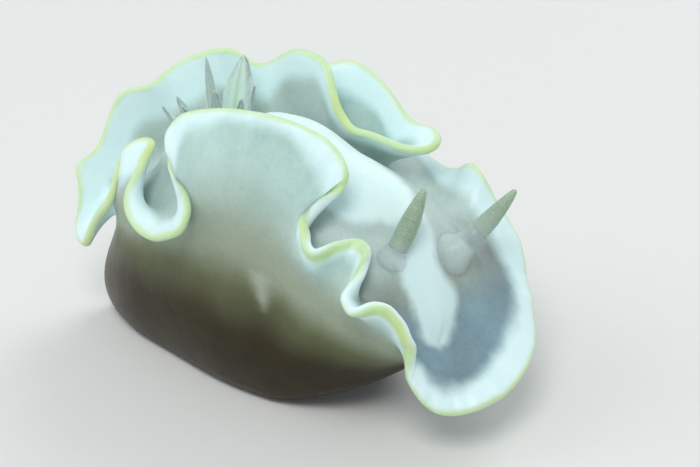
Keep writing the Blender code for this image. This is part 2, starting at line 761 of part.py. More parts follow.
def main():
    for old in list(bpy.data.objects):
        bpy.data.objects.remove(old, do_unlink=True)

    white = (0.86, 0.90, 0.86)
    grey = (0.62, 0.70, 0.64)
    tan = (0.45, 0.44, 0.32)

    body = body_mesh("body")
    swollen = copy_of(body, "swollen")
    grow(swollen, GAP)

    # Body cut in side view: tail, foot, head, back and two flanks.
    g = GAP / 2
    tail_x = -13.6
    head_x = 3.6
    split_x = -8.2
    foot_top = ((tail_x + g, 2.5), (-3.0, 2.5), (1.0, 3.3), (4.0, 4.3), (12.0, 4.6))
    shoulder = ((-14.5, 9.6), (-11.0, 10.5), (-6.0, 11.3), (0.0, 10.9), (4.5, 9.6))

    def band(line, low_x, high_x, shift):
        inside = [(x, z) for x, z in line if low_x < x < high_x]
        xs = [p[0] for p in line]
        zs = [p[1] for p in line]
        ends = [(x, float(np.interp(x, xs, zs))) for x in (low_x, high_x)]
        return [(x, z + shift) for x, z in (ends[0], *inside, ends[1])]

    wide = (-14.0, 14.0)
    body_part(body, "tail", ((-30, -2), (tail_x - g, -2), (tail_x - g, 22), (-30, 22)), wide, tan)
    foot_line = band(foot_top, tail_x + g, 12.0, -g)
    body_part(body, "foot", ((tail_x + g, -2), (12, -2), *foot_line[::-1]), wide, tan)
    head_line = band(foot_top, head_x + g, 12.0, g)
    body_part(body, "head", (*head_line, (12, 22), (head_x + g, 22)), wide, white)
    lower = band(foot_top, tail_x + g, head_x - g, g)
    upper = band(shoulder, tail_x + g, head_x - g, -g)
    for name, side in (("flank_right", (-14.0, -g)), ("flank_left", (g, 14.0))):
        body_part(body, name, (*lower, *upper[::-1]), side, tan)
    rear = band(shoulder, tail_x + g, split_x - g, g)
    body_part(body, "back_rear", (*rear, (split_x - g, 22), (tail_x + g, 22)), wide, white)
    fore = band(shoulder, split_x + g, head_x - g, g)
    body_part(body, "back_front", (*fore, (head_x - g, 22), (split_x + g, 22)), wide, white)

    # Lengths of the mantle skirt: name, turns it starts and ends at, columns.
    lengths = (
        ("mantle_front_lobe", 0.954, 1.049, 12),
        ("mantle_right_fold_1", 0.049, 0.116, 11),
        ("mantle_right_fold_2", 0.116, 0.186, 11),
        ("mantle_right_wall_front", 0.186, 0.262, 11),
        ("mantle_right_wall_rear", 0.262, 0.338, 9),
        ("mantle_right_cup", 0.338, 0.428, 17),
        ("mantle_rear_fold", 0.428, 0.472, 9),
        ("mantle_tail_lobe", 0.472, 0.548, 14),
        ("mantle_left_rear", 0.548, 0.650, 13),
        ("mantle_left_wall", 0.650, 0.695, 8),
        ("mantle_left_pod_near", 0.695, 0.748, 13),
        ("mantle_left_pod_far", 0.748, 0.794, 13),
        ("mantle_left_notch", 0.794, 0.838, 10),
        ("mantle_left_front", 0.838, 0.900, 9),
        ("mantle_left_lobe", 0.900, 0.954, 8),
    )
    for name, start, end, columns in lengths:
        part = skirt_length(name, start, end, columns, 9, white)
        boolean(part, swollen, "DIFFERENCE", folded=True)
        keep_largest(part)

    # Feelers and their low sheaths.
    for side, (root, tip) in (("right", RHINO_RIGHT), ("left", RHINO_LEFT)):
        tip = np.array(tip)
        along = unit(tip - np.array(root))
        root = hit_from(body, tip, -along)
        line = curve_between(root - along * 1.0, tip, (0, 0, 0.25), FEELER_RINGS * 2 + 1)
        share = np.linspace(0, 1, FEELER_RINGS * 2 + 1)
        feeler = tube("rhinophore_" + side, line, RHINO_RADIUS * feeler_widths(share), 12, grey)
        sheath = ring_tube("rhinophore_sheath_" + side, root + along * 0.1, along, 0.98, 0.27, 0.55, 8, 18, white)
        for piece in (feeler, sheath):
            boolean(piece, swollen, "DIFFERENCE")
            keep_largest(piece)

    # Gills, their pocket and the vent.
    centre = np.array(GILL_CENTRE)
    up = unit(np.array([-0.45, 0.0, 1.0]))
    pocket = ring_tube("gill_pocket", centre + up * 0.1, up, GILL_POCKET, 0.32, 0.75, 8, 24, white)
    boolean(pocket, swollen, "DIFFERENCE")
    keep_largest(pocket)
    ahead = unit(np.cross((0, 1.0, 0), up))
    aside = np.cross(up, ahead)
    for i, (degrees, reach, height) in enumerate(GILLS):
        angle = math.radians(degrees)
        out = ahead * math.cos(angle) + aside * math.sin(angle)
        level = np.array([math.cos(angle), math.sin(angle), 0.0])
        root = centre + out * GILL_CIRCLE - up * 1.2
        tip = centre + level * reach + np.array([0, 0, height])
        branch = gill_plume(f"gill_branch_{i + 1:02d}", root, tip, out, grey)
        boolean(branch, swollen, "DIFFERENCE")
        keep_largest(branch)

    # Feelers beside the mouth, and the small swelling on the right flank.
    ahead = unit(np.array([0.87, -0.5, 0.0]))
    aside = np.array([0.5, 0.87, 0.0])
    for name, shift in (("oral_tentacle_right", -MOUTH_GAP / 2), ("oral_tentacle_left", MOUTH_GAP / 2)):
        root = hit_from(body, MOUTH + ahead * 6 + aside * shift, -ahead)
        tip = root + ahead * 1.2 + aside * shift * 0.5 - np.array([0, 0, 1.0])
        line = curve_between(root - ahead * 0.8, tip, ahead * 0.2, 6)
        feeler = tube(name, line, (0.34, 0.36, 0.36, 0.33, 0.28, 0.2), 10, white)
        boolean(feeler, swollen, "DIFFERENCE")
        keep_largest(feeler)
    out = np.array([0.0, -0.97, -0.24])
    root = hit_from(body, FLANK_PORE - 4 * out * -1, -out)
    papilla = tube("flank_papilla", curve_between(root - out, root + out * 0.75, (0, 0, 0), 6),
                   (0.62, 0.62, 0.62, 0.58, 0.48, 0.3), 12, white)
    boolean(papilla, swollen, "DIFFERENCE")
    keep_largest(papilla)

    vent = tube("vent", curve_between(centre - up, centre + up * 1.5, (0, 0, 0), 5), (0.5, 0.5, 0.46, 0.4, 0.3), 10, white)
    boolean(vent, swollen, "DIFFERENCE")
    keep_largest(vent)

    drop(body, swollen)


main()
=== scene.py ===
# The looks of a humped-up sea slug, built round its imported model.
# Lengths in the tables are millimetres; the finished meshes are in metres. +X is the head end, +Y its left.

import math
import random

import bpy
import numpy as np
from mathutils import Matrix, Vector
from mathutils.bvhtree import BVHTree
from mathutils.kdtree import KDTree


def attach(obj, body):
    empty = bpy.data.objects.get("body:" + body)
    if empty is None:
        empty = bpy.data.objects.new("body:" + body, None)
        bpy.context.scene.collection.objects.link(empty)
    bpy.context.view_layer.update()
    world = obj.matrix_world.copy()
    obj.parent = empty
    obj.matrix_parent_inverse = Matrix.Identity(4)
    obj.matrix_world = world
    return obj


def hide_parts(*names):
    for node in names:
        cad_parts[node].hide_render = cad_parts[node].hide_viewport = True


bl_info = {
    "name": "Sea slug model",
    "version": (1, 0, 0),
    "blender": (4, 5, 0),
    "location": "3D View > Sidebar > Sea slug",
    "description": "Skin, feelers, gills and studio for a life-size sea slug model",
    "category": "Add Mesh",
}

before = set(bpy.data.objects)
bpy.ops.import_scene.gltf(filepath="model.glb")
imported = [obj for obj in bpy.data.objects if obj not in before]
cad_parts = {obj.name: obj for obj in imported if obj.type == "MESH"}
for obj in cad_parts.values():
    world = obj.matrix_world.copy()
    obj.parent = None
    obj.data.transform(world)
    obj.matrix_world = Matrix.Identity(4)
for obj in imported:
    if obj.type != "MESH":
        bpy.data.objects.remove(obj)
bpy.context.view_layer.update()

# One millimetre in metres, and the place along the tables' X that is the middle of the sole.
MM = 0.001
SOLE_X = -8.0

# Rows of points across the skin, from the ridge of the back to the middle of the sole.
SKIN_ROWS = {"back": 34, "skirt": 32, "rim": 5, "flank": 20, "sole": 9}

# Thickness of the mantle skirt at its root and at its rim.
SKIRT_ROOT = 0.92
SKIRT_RIM = 0.58

# Rim of the mantle, one row a fold or notch: name, turn round the body, x, y, z.
# Turn 0 is the front, 0.25 the right side, 0.5 the tail and 0.75 the left side.
RIM = (
    ("front lobe middle", 0.000, 11.2, -2.7, 3.6),
    ("front lobe right", 0.022, 9.6, -4.0, 3.4),
    ("front lobe right corner", 0.042, 8.2, -4.4, 4.5),
    ("right notch 1", 0.058, 7.7, -4.5, 5.9),
    ("right fold 1 lip", 0.072, 8.1, -4.5, 7.4),
    ("right fold 1 crest", 0.086, 7.5, -5.1, 9.1),
    ("right fold 1 back", 0.098, 6.4, -5.7, 10.3),
    ("right notch 2 front", 0.110, 5.5, -6.4, 9.3),
    ("right notch 2", 0.122, 4.5, -6.5, 10.1),
    ("right fold 2 front", 0.134, 4.3, -5.1, 10.6),
    ("right fold 2 crest", 0.148, 4.4, -3.7, 11.6),
    ("right fold 2 back", 0.162, 3.4, -3.4, 12.2),
    ("right notch 3 front", 0.176, 2.4, -4.7, 12.1),
    ("right notch 3", 0.190, 2.1, -6.1, 12.1),
    ("right notch 3 back", 0.202, 1.1, -5.8, 12.7),
    ("right wall foot", 0.213, 0.5, -4.8, 13.7),
    ("right wall front", 0.224, 1.1, -4.0, 14.5),
    ("right wall corner", 0.238, 1.9, -2.8, 15.4),
    ("right wall 1", 0.254, 0.4, -2.1, 16.7),
    ("right wall 2", 0.275, -1.9, -2.5, 17.6),
    ("right wall 3", 0.300, -5.3, -3.4, 17.9),
    ("right wall 4", 0.320, -8.1, -4.0, 17.4),
    ("right wall 5", 0.332, -9.8, -4.3, 16.6),
    ("cup front top", 0.342, -10.5, -4.7, 15.4),
    ("cup front", 0.352, -9.4, -5.6, 14.0),
    ("cup front low", 0.362, -7.4, -6.3, 12.9),
    ("cup lip front", 0.372, -6.6, -7.2, 11.8),
    ("cup lip", 0.383, -7.7, -8.3, 10.8),
    ("cup lip back", 0.395, -10.4, -7.8, 10.7),
    ("cup back", 0.407, -12.7, -6.2, 11.5),
    ("cup back high", 0.419, -13.0, -4.5, 12.6),
    ("cup back top", 0.432, -13.6, -2.5, 13.6),
    ("rear fold top", 0.444, -15.5, -2.8, 12.9),
    ("rear fold side", 0.454, -16.0, -3.5, 11.8),
    ("rear notch", 0.465, -15.6, -4.4, 9.8),
    ("rear notch low", 0.475, -17.3, -4.5, 8.0),
    ("tail lobe right", 0.485, -18.2, -4.6, 5.4),
    ("tail lobe back", 0.496, -19.8, -4.0, 5.8),
    ("tail lobe waist", 0.510, -19.6, -3.3, 8.2),
    ("tail lobe crest", 0.524, -20.3, -2.9, 10.1),
    ("tail lobe left", 0.538, -20.0, -1.3, 10.5),
    ("rear left notch", 0.550, -20.0, -0.4, 11.8),
    ("rear left fold", 0.562, -19.5, 0.6, 14.3),
    ("rear left fold top", 0.578, -18.3, 2.0, 14.4),
    ("left wall rear 1", 0.592, -18.3, 3.6, 14.9),
    ("left wall rear 2", 0.610, -16.6, 4.7, 16.2),
    ("left wall rear 3", 0.630, -14.1, 5.5, 17.0),
    ("left notch 1", 0.648, -12.6, 6.7, 15.7),
    ("left peak", 0.664, -9.7, 6.4, 17.8),
    ("left wall 2", 0.680, -6.7, 6.1, 17.8),
    ("left pod near top", 0.692, -5.6, 5.3, 16.9),
    ("left pod near", 0.704, -4.2, 4.6, 14.5),
    ("left pod near low", 0.716, -2.1, 5.2, 14.5),
    ("left pod near front", 0.727, -0.4, 5.3, 13.9),
    ("left pod lip", 0.739, 1.5, 6.8, 13.8),
    ("left pod tip", 0.749, 0.6, 8.0, 14.7),
    ("left pod far low", 0.757, -1.6, 8.2, 13.9),
    ("left pod far", 0.766, -2.9, 8.6, 15.2),
    ("left pod far top", 0.775, -5.5, 8.8, 16.9),
    ("left pod back top", 0.782, -7.3, 8.6, 17.0),
    ("left pod back", 0.789, -9.3, 8.4, 15.8),
    ("left behind pod", 0.799, -7.8, 10.3, 13.9),
    ("left behind low", 0.812, -2.4, 10.4, 11.3),
    ("left front notch", 0.826, 1.2, 9.0, 11.2),
    ("left front crest", 0.846, 3.3, 8.2, 12.8),
    ("left front side", 0.868, 5.1, 8.1, 10.6),
    ("left front corner", 0.892, 7.0, 7.8, 8.7),
    ("left lobe side", 0.920, 8.8, 6.2, 6.4),
    ("left lobe low", 0.948, 10.9, 3.8, 4.9),
    ("front lobe left", 0.975, 11.9, -0.2, 4.0),
)

# Shoulder of the body where the mantle leaves it: turn, x, y, z.
ROOT = (
    (0.00, 7.8, -1.7, 5.6),
    (0.07, 6.5, -3.7, 7.1),
    (0.14, 3.6, -4.8, 8.9),
    (0.19, 1.5, -5.2, 9.8),
    (0.215, 0.0, -5.3, 10.2),
    (0.24, -2.0, -5.5, 10.5),
    (0.27, -3.2, -5.6, 10.7),
    (0.31, -4.8, -5.6, 10.8),
    (0.35, -6.6, -5.6, 10.8),
    (0.37, -8.0, -5.5, 10.6),
    (0.395, -10.6, -5.2, 10.1),
    (0.42, -13.0, -4.7, 9.4),
    (0.45, -15.2, -3.9, 8.7),
    (0.50, -17.4, -2.0, 7.8),
    (0.55, -16.8, 0.6, 8.8),
    (0.62, -13.0, 3.6, 10.4),
    (0.70, -7.0, 5.2, 10.7),
    (0.78, -1.0, 5.4, 10.2),
    (0.86, 4.2, 4.9, 9.5),
    (0.93, 7.4, 2.8, 7.8),
)

# Edge of the foot: turn, x, y. Its height follows the sole.
FOOT = (
    (0.00, 5.2, 0.0),
    (0.07, 4.4, -2.4),
    (0.15, 1.8, -4.2),
    (0.22, -1.8, -5.3),
    (0.30, -5.6, -5.6),
    (0.38, -10.6, -5.0),
    (0.45, -15.4, -4.1),
    (0.50, -18.5, -2.2),
    (0.55, -17.0, 0.2),
    (0.62, -12.4, 2.8),
    (0.70, -6.8, 4.6),
    (0.78, -1.2, 4.8),
    (0.86, 2.6, 3.8),
    (0.93, 4.6, 2.0),
)

# Ridge of the back from tail to head: share of the way, x, y, z.
RIDGE = (
    (0.00, -16.4, -1.6, 9.4),
    (0.14, -14.4, -0.4, 11.6),
    (0.30, -10.6, 0.7, 13.9),
    (0.42, -7.6, 0.9, 16.0),
    (0.50, -5.4, 1.0, 16.5),
    (0.57, -3.6, 1.2, 16.3),
    (0.64, -1.8, 1.3, 15.2),
    (0.76, 1.8, 1.5, 13.9),
    (0.87, 5.2, 0.8, 11.7),
    (0.95, 7.2, -0.6, 8.9),
    (1.00, 8.0, -1.6, 6.7),
)

# The sole is flat behind this point and lifts off the floor ahead of it, by this much at the head.
# The last number is the height of its rounded edge.
SOLE_LIFT_START = -2.0
SOLE_LIFT_END = 5.2
SOLE_LIFT = 3.0
FOOT_EDGE = 0.45

# Small flats that the foot rests on, as turns, and how far the rest of the sole stands clear of them.
REST_FLATS = (0.241, 0.404, 0.500, 0.624, 0.759)
REST_FLAT_HALF = 0.010
SOLE_CLEAR = 0.10

# How far the flanks swell out past a straight line from shoulder to foot.
FLANK_SWELL = 1.3

# Large feelers on the head: root and tip of each, and their radius.
RHINO_RIGHT = ((4.5, -1.7, 10.9), (5.4, 0.1, 14.9))
RHINO_LEFT = ((7.0, 1.9, 10.6), (8.35, 5.3, 13.7))
RHINO_RADIUS = 0.66

# Mouth below the front of the mantle, the gap between its short feelers, and the pore on the right flank.
MOUTH = np.array([7.4, -1.3, 4.7])
MOUTH_GAP = 2.0
FLANK_PORE = np.array([-1.7, -5.9, 8.6])

# Gills round the vent: their middle and the way they face, radius of their circle and of their pocket,
# and for each plume its direction in degrees, reach outward and height.
GILL_CENTRE = np.array([-11.9, 1.1, 13.2])
GILL_UP = (-0.45, 0.0, 1.0)
GILL_CIRCLE = 1.5
GILL_POCKET = 3.3
GILLS = (
    (92, 3.3, 4.4),
    (138, 3.4, 4.0),
    (182, 3.0, 1.9),
    (-138, 3.2, 2.1),
    (-88, 3.0, 3.0),
    (-44, 2.4, 4.0),
    (2, 2.4, 3.1),
    (48, 2.7, 3.2),
)


def unit(a):
    return a / np.maximum(np.linalg.norm(a, axis=-1, keepdims=True), 1e-9)


def closed_spline(rows, samples):
    """Smooth loop through rows that end in turn, x, y, z."""
    p = np.array([r[-3:] for r in rows], float)
    t = np.array([r[-4] for r in rows], float)
    n = len(p)
    step = np.linalg.norm(np.roll(p, -1, 0) - p, axis=1) ** 0.5
    share = np.linspace(0, 1, max(4, samples // n), endpoint=False)
    turns = []
    points = []
    for i in range(n):
        at = [(i - 1) % n, i, (i + 1) % n, (i + 2) % n]
        a, b, c, d = p[at]
        k1 = step[at[0]]
        k2 = k1 + step[at[1]]
        k3 = k2 + step[at[2]]
        u = (k1 + (k2 - k1) * share)[:, None]
        a1 = (k1 - u) / k1 * a + u / k1 * b
        a2 = (k2 - u) / (k2 - k1) * b + (u - k1) / (k2 - k1) * c
        a3 = (k3 - u) / (k3 - k2) * c + (u - k2) / (k3 - k2) * d
        b1 = (k2 - u) / k2 * a1 + u / k2 * a2
        b2 = (k3 - u) / (k3 - k1) * a2 + (u - k1) / (k3 - k1) * a3
        points.append((k2 - u) / (k2 - k1) * b1 + (u - k1) / (k2 - k1) * b2)
        last = t[(i + 1) % n] + (1.0 if i == n - 1 else 0.0)
        turns.append(t[i] + (last - t[i]) * share)
    return np.concatenate(turns), np.concatenate(points)


def at_turn(loop, turns):
    """Points of a loop at any turns, which may lie past 0 or 1."""
    t, p = loop
    t3 = np.concatenate([t - 1, t, t + 1])
    p3 = np.concatenate([p, p, p])
    wrapped = np.mod(turns, 1.0)
    return np.stack([np.interp(wrapped, t3, p3[:, k]) for k in range(3)], -1)


def blurred(loop, width):
    """The loop with waves shorter than width (in turns) smoothed away."""
    n = 2048
    even = np.arange(n) / n
    flat = at_turn(loop, even)
    wave = np.fft.rfftfreq(n, 1 / n)
    keep = np.exp(-0.5 * (2 * np.pi * wave * width) ** 2)
    return even, np.fft.irfft(np.fft.rfft(flat, axis=0) * keep[:, None], n, axis=0)


def open_spline(rows, samples):
    """Smooth line through rows of share, x, y, z."""
    p = np.array([r[1:] for r in rows], float)
    t = np.array([r[0] for r in rows], float)
    p = np.vstack([2 * p[0] - p[1], p, 2 * p[-1] - p[-2]])
    x = np.linspace(0, 1, samples, endpoint=False)[:, None]
    points = []
    places = []
    for i in range(len(t) - 1):
        a, b, c, d = p[i:i + 4]
        near = (2 * x**3 - 3 * x**2 + 1) * b + (x**3 - 2 * x**2 + x) * (c - a) / 2
        points.append(near + (-2 * x**3 + 3 * x**2) * c + (x**3 - x**2) * (d - b) / 2)
        places.append(t[i] + (t[i + 1] - t[i]) * x[:, 0])
    points.append(p[-2:-1])
    places.append(t[-1:])
    return np.concatenate(places), np.concatenate(points)


RIM_LOOP = blurred(closed_spline(RIM, 8000), 0.0028)
RIM_WIDE = blurred(RIM_LOOP, 0.030)
RIM_MID = blurred(RIM_LOOP, 0.011)
ROOT_LOOP = blurred(closed_spline(ROOT, 2000), 0.012)
RIDGE_LINE = open_spline(RIDGE, 40)


def sole_height(x):
    share = np.clip((x - SOLE_LIFT_START) / (SOLE_LIFT_END - SOLE_LIFT_START), 0.0, 1.3)
    return SOLE_LIFT * share**1.3


def foot_point(turns):
    rows = [(t, x, y, 0.0) for t, x, y in FOOT]
    p = at_turn(closed_spline(rows, 2000), turns)
    p[..., 2] = sole_height(p[..., 0]) + FOOT_EDGE
    return p


def ridge_point(turns):
    share = np.abs(np.mod(turns, 1.0) - 0.5) * 2
    s, p = RIDGE_LINE
    return np.stack([np.interp(share, s, p[:, k]) for k in range(3)], -1)


def outward(turns):
    """Level direction pointing out of the body at the shoulder."""
    step = 0.01
    run = at_turn(ROOT_LOOP, turns + step) - at_turn(ROOT_LOOP, turns - step)
    level = np.stack([run[..., 1], -run[..., 0], 0 * run[..., 0]], -1)
    return -unit(level)


def bezier(a, b, c, d, v):
    return (1 - v)**3 * a + 3 * (1 - v)**2 * v * b + 3 * (1 - v) * v**2 * c + v**3 * d


def swing_out(turns):
    """How strongly the skirt first leaves the body sideways, least at the left pod."""
    return (0.8 - 0.6 * np.exp(-((np.mod(turns, 1.0) - 0.728) / 0.045) ** 2))[..., None]


def skirt(turns, v):
    """Middle surface of the mantle skirt, v from 0 at the shoulder to 1 at the rim."""
    rim = at_turn(RIM_LOOP, turns)
    wide = at_turn(RIM_WIDE, turns)
    mid = at_turn(RIM_MID, turns)
    root = at_turn(ROOT_LOOP, turns)
    out = outward(turns)
    length = np.linalg.norm(wide - root, axis=-1, keepdims=True)
    swing = swing_out(turns)
    start = unit(unit(wide - root) + swing * out)
    first = root + start * length * 0.36
    second = root + (mid - root) * 0.70 + out * length * swing * 0.12
    return bezier(root, first, second, rim, v[..., None])


def flank(turns, q):
    """Side of the body, q from 0 at the shoulder to 1 at the edge of the foot."""
    top = at_turn(ROOT_LOOP, turns)
    foot = foot_point(turns)
    out = outward(turns)
    drop = top[..., 2:] - foot[..., 2:]
    swell = FLANK_SWELL * np.clip(drop / 9.0, 0.15, 1.0)
    high = top + out * swell * 0.8 - np.array([0, 0, 0.38]) * drop
    low = foot + out * swell * 1.1 + np.array([0, 0, 0.30]) * drop
    return bezier(top, high, low, foot, q[..., None])


def back(turns, q):
    """Top of the body, q from 0 on the ridge to 1 at the shoulder."""
    ridge = ridge_point(turns)
    top = at_turn(ROOT_LOOP, turns)
    span = top - ridge
    level = span * np.array([1, 1, 0.0])
    across = (top - at_turn(ROOT_LOOP, 1 - turns)) * np.array([1, 1, 0.0])
    wide = np.linalg.norm(across, axis=-1, keepdims=True)
    share = np.clip(wide / 4.0, 0.0, 1.0)
    way = unit(share * unit(across) + (1 - share) * unit(level))
    left = np.exp(-((np.mod(turns, 1.0) - 0.76) / 0.10) ** 2)[..., None]
    first = ridge + way * np.linalg.norm(level, axis=-1, keepdims=True) * (0.45 - 0.25 * left)
    second = top - level * 0.10 - span * np.array([0, 0, 1.0]) * (0.42 - 0.30 * left)
    return bezier(ridge, first, second, top, q[..., None])


def sole(turns, q):
    """Underside, q from 0 at the edge of the foot to 1 on its middle line."""
    foot = foot_point(turns)
    share = np.abs(np.mod(turns, 1.0) - 0.5) * 2
    tail = np.array([-17.2, -1.6, 0.0])
    head = np.array([4.2, 0.1, 0.0])
    line = tail + (head - tail) * share[..., None]
    p = foot + (line - foot) * q[..., None]
    ground = sole_height(p[..., 0])
    turn_under = np.clip(1 - q / 0.16, 0.0, 1.0) ** 2
    nearest = np.min([np.abs(np.mod(turns, 1.0) - flat) for flat in REST_FLATS], axis=0)
    at_flat = np.clip((REST_FLAT_HALF - nearest) / 0.003 + 1, 0.0, 1.0) * np.clip((0.72 - q) / 0.28, 0.0, 1.0)
    in_middle = np.clip((q - 0.44) / 0.28, 0.0, 1.0) * np.clip(5.5 - np.abs(p[..., 0] - SOLE_X), 0.0, 1.0)
    clear = SOLE_CLEAR * (1 - np.maximum(at_flat, in_middle)) * (1 - turn_under)
    p[..., 2] = ground + FOOT_EDGE * turn_under + clear
    return p


def even_turns(count):
    """Turns mirrored about the midline, closer together where the rim is long."""
    fine = np.linspace(0, 1, 2001)
    r = at_turn(RIM_LOOP, fine)
    pace = np.linalg.norm(np.gradient(r, fine, axis=0), axis=1)
    pace = np.maximum(pace, pace[::-1]) + 0.5 * pace.mean()
    pace = np.convolve(np.pad(pace, 15, mode="wrap"), np.ones(31) / 31, "valid")
    half = fine <= 0.5
    total = np.concatenate([[0], np.cumsum((pace[half][1:] + pace[half][:-1]) / 2)])
    first = np.interp(np.linspace(0, total[-1], count // 2 + 1), total, fine[half])
    return np.concatenate([first, 1 - first[-2:0:-1]])


def curve_between(root, tip, bend, steps):
    """Line from root to tip that starts upright along bend."""
    root = np.asarray(root, float)
    tip = np.asarray(tip, float)
    s = np.linspace(0, 1, steps)[:, None]
    mid = (root + tip) / 2 + np.asarray(bend, float)
    return (1 - s)**2 * root + 2 * (1 - s) * s * mid + s**2 * tip


# Opaque white patch down the back: x, y, z and half width at each place.
PATCH = (
    (7.9, -1.5, 6.6, 0.5),
    (7.8, -1.45, 6.9, 1.0),
    (7.5, -1.35, 7.45, 1.5),
    (7.1, -1.15, 8.35, 1.8),
    (6.65, -1.2, 9.7, 1.55),
    (6.05, -1.05, 10.6, 1.3),
    (5.8, -0.35, 11.15, 0.8),
    (5.2, 0.5, 11.7, 0.6),
    (4.9, 0.9, 12.0, 0.6),
    (4.2, 1.2, 12.5, 0.5),
    (3.6, 1.0, 12.9, 0.95),
    (2.6, 0.4, 13.3, 1.8),
    (1.0, -0.3, 13.9, 2.7),
    (-1.6, 0.2, 15.1, 2.9),
    (-4.4, 0.7, 16.3, 2.6),
    (-7.6, 0.9, 16.0, 2.2),
    (-10.0, 0.8, 14.2, 1.4),
)

# Width of the white band inside the green edge, by turn round the mantle: turn, top face, under face.
BANDS = (
    (0.000, 1.20, 0.5),
    (0.040, 1.10, 0.4),
    (0.072, 0.75, 0.3),
    (0.100, 0.85, 0.3),
    (0.122, 0.70, 0.3),
    (0.148, 0.95, 0.4),
    (0.176, 0.90, 0.3),
    (0.202, 0.90, 0.3),
    (0.224, 1.00, 0.8),
    (0.240, 1.20, 1.5),
    (0.256, 1.10, 1.1),
    (0.275, 1.00, 0.4),
    (0.305, 1.00, 0.3),
    (0.326, 1.10, 0.8),
    (0.342, 1.20, 2.2),
    (0.358, 1.20, 2.1),
    (0.372, 1.30, 0.5),
    (0.395, 1.50, 0.4),
    (0.415, 1.70, 1.6),
    (0.440, 1.70, 2.4),
    (0.462, 1.30, 1.2),
    (0.480, 1.90, 1.8),
    (0.510, 2.20, 1.8),
    (0.550, 1.80, 1.2),
    (0.600, 2.30, 0.7),
    (0.630, 2.60, 0.6),
    (0.664, 1.60, 0.6),
    (0.690, 0.80, 1.4),
    (0.716, 0.50, 1.5),
    (0.740, 0.70, 1.1),
    (0.766, 1.20, 2.0),
    (0.790, 1.20, 1.6),
    (0.826, 1.30, 0.6),
    (0.846, 1.50, 0.6),
    (0.872, 1.20, 0.5),
    (0.888, 1.70, 0.5),
    (0.902, 1.70, 0.5),
    (0.920, 1.25, 0.5),
    (0.936, 1.40, 0.5),
    (0.952, 1.65, 0.5),
    (0.972, 1.70, 0.5),
    (0.988, 1.35, 0.5),
)

# Small waves of the mantle's edge: height of the longest, and how many of each kind go round it.
RIPPLE = 0.05
RIPPLE_WAVES = (29, 43, 61, 83, 107)

# Pace of the skin's rows from shoulder to rim, and the least half thickness of the skirt.
ROW_PACE = 0.92
LEAST_HALF = 0.16

# Rounds of evening out: the skirt's rows and directions, the fillets at its root, the back and the head.
ROW_ROUNDS = 14
WAY_ROUNDS = 3
FILLET_ROUNDS = 40
BACK_ROUNDS = 80
HEAD_ROUNDS = 60

# How far under the rim the green edge lies along the right front ruffles, and the turns where it does.
EDGE_SHIFT = 0.48
EDGE_TURNS = (0.05, 0.20)

# Swelling of the left pod's far wall: where it is round the mantle, how far it spreads, and the way it goes.
POD_TURN = 0.79
POD_SPREAD = 0.014
POD_SWELL = np.array([-1.4, -1.1, 0.0])

# Thickness of the lip of each feeler's sheath, and its top radius, the radius of its foot and its height.
SHEATH_LIP = 0.07
SHEATHS = {"right": (0.66, 1.35, 0.35), "left": (0.70, 1.75, 1.9)}

# Points round each sheath and up its wall.
SHEATH_SIDES = 64
SHEATH_STEPS = 14

# Points along and round each large feeler, and the slant, depth and span of its leaves.
FEELER_STEPS = 300
FEELER_SIDES = 48
LEAF_SLANT = 0.022
LEAF_DEPTH = 0.12
LEAF_SPAN = 0.70

# Where up each large feeler its pale foot starts to turn green, and where it is all green.
FEELER_PALE = {"right": (0.08, 0.36), "left": (0.34, 0.72)}

# How far the middle of each large feeler bows.
FEELER_BEND = (0.15, -0.1, -0.15)

# Points along a gill and round its plume, leaflets up each side, and half the width of each gill's plume.
GILL_STEPS = 90
PLUME_SIDES = 32
GILL_RIBS = 30
GILL_WIDTHS = (1.30, 0.42, 0.60, 0.95, 0.80, 0.60, 0.60, 0.60)

# Soft swelling over the pore on the right flank: half length, half width and height, and the ways that it
# stands out and runs.
PORE_LONG = 1.2
PORE_WIDE = 0.7
PORE_HIGH = 0.2
PORE_OUT = (0.1, -0.97, -0.2)
PORE_RUN = (-0.15, 0.0, 1.0)

# Heights, and places along X, between which the painted shade in the hollow of the front lobe fades.
LOBE_SHADE_HEIGHTS = (6.0, 12.5)
LOBE_SHADE_PLACES = (2.0, 5.5)

# Middle, along X and up, and half size of the dark shade low on the right side of the tail.
TAIL_SHADE = (-15.0, 5.2)
TAIL_SHADE_SIZE = 2.6

# The way that the head faces, and the way to its left.
AHEAD = (0.87, -0.5, 0.0)
ASIDE = (0.5, 0.87, 0.0)

# Club of a large feeler: share of the way up, and width there as a share of the feeler's radius.
CLUB = ((0, 0.15, 0.42, 0.62, 0.80, 0.92, 0.98, 1.0), (0.86, 0.92, 1.04, 0.95, 0.70, 0.46, 0.28, 0.10))

# Outline of a gill's plume: share of the way up, and width there as a share of the widest.
PLUME = ((0.0, 0.10, 0.28, 0.50, 0.70, 0.88, 1.0), (0.35, 0.62, 0.95, 1.0, 0.76, 0.40, 0.05))

# Share of a gill's length that carries leaflets, and where up it they start.
RIBBED = 0.82
RIBS_START = 0.14

# Studio lights in metres: name, place, width, setting for the power and share of it, colour.
LIGHTS = (
    ("Main light", (0.10, -0.20, 0.34), 0.20, "key_power", 1.0, (1.0, 0.99, 0.96)),
    ("Fill light", (-0.26, -0.16, 0.20), 0.30, "fill_power", 1.0, (0.92, 0.97, 1.0)),
    ("Back light", (0.02, 0.28, 0.26), 0.24, "fill_power", 1.4, (0.95, 0.99, 1.0)),
)
LIT_POINT = (0.008, 0.0, 0.010)

# Camera at the photo's angle: degrees round and up, distance, widths of view and sensor in millimetres, and
# the point that it looks at, in metres.
CAMERA_ROUND = 38.0
CAMERA_UP = 27.0
CAMERA_AWAY = 110.0
VIEW_WIDE = 700 / 16.5
SENSOR_WIDE = 36.0
CAMERA_AIM = (-SOLE_X * MM, 0.0, 0.0103)

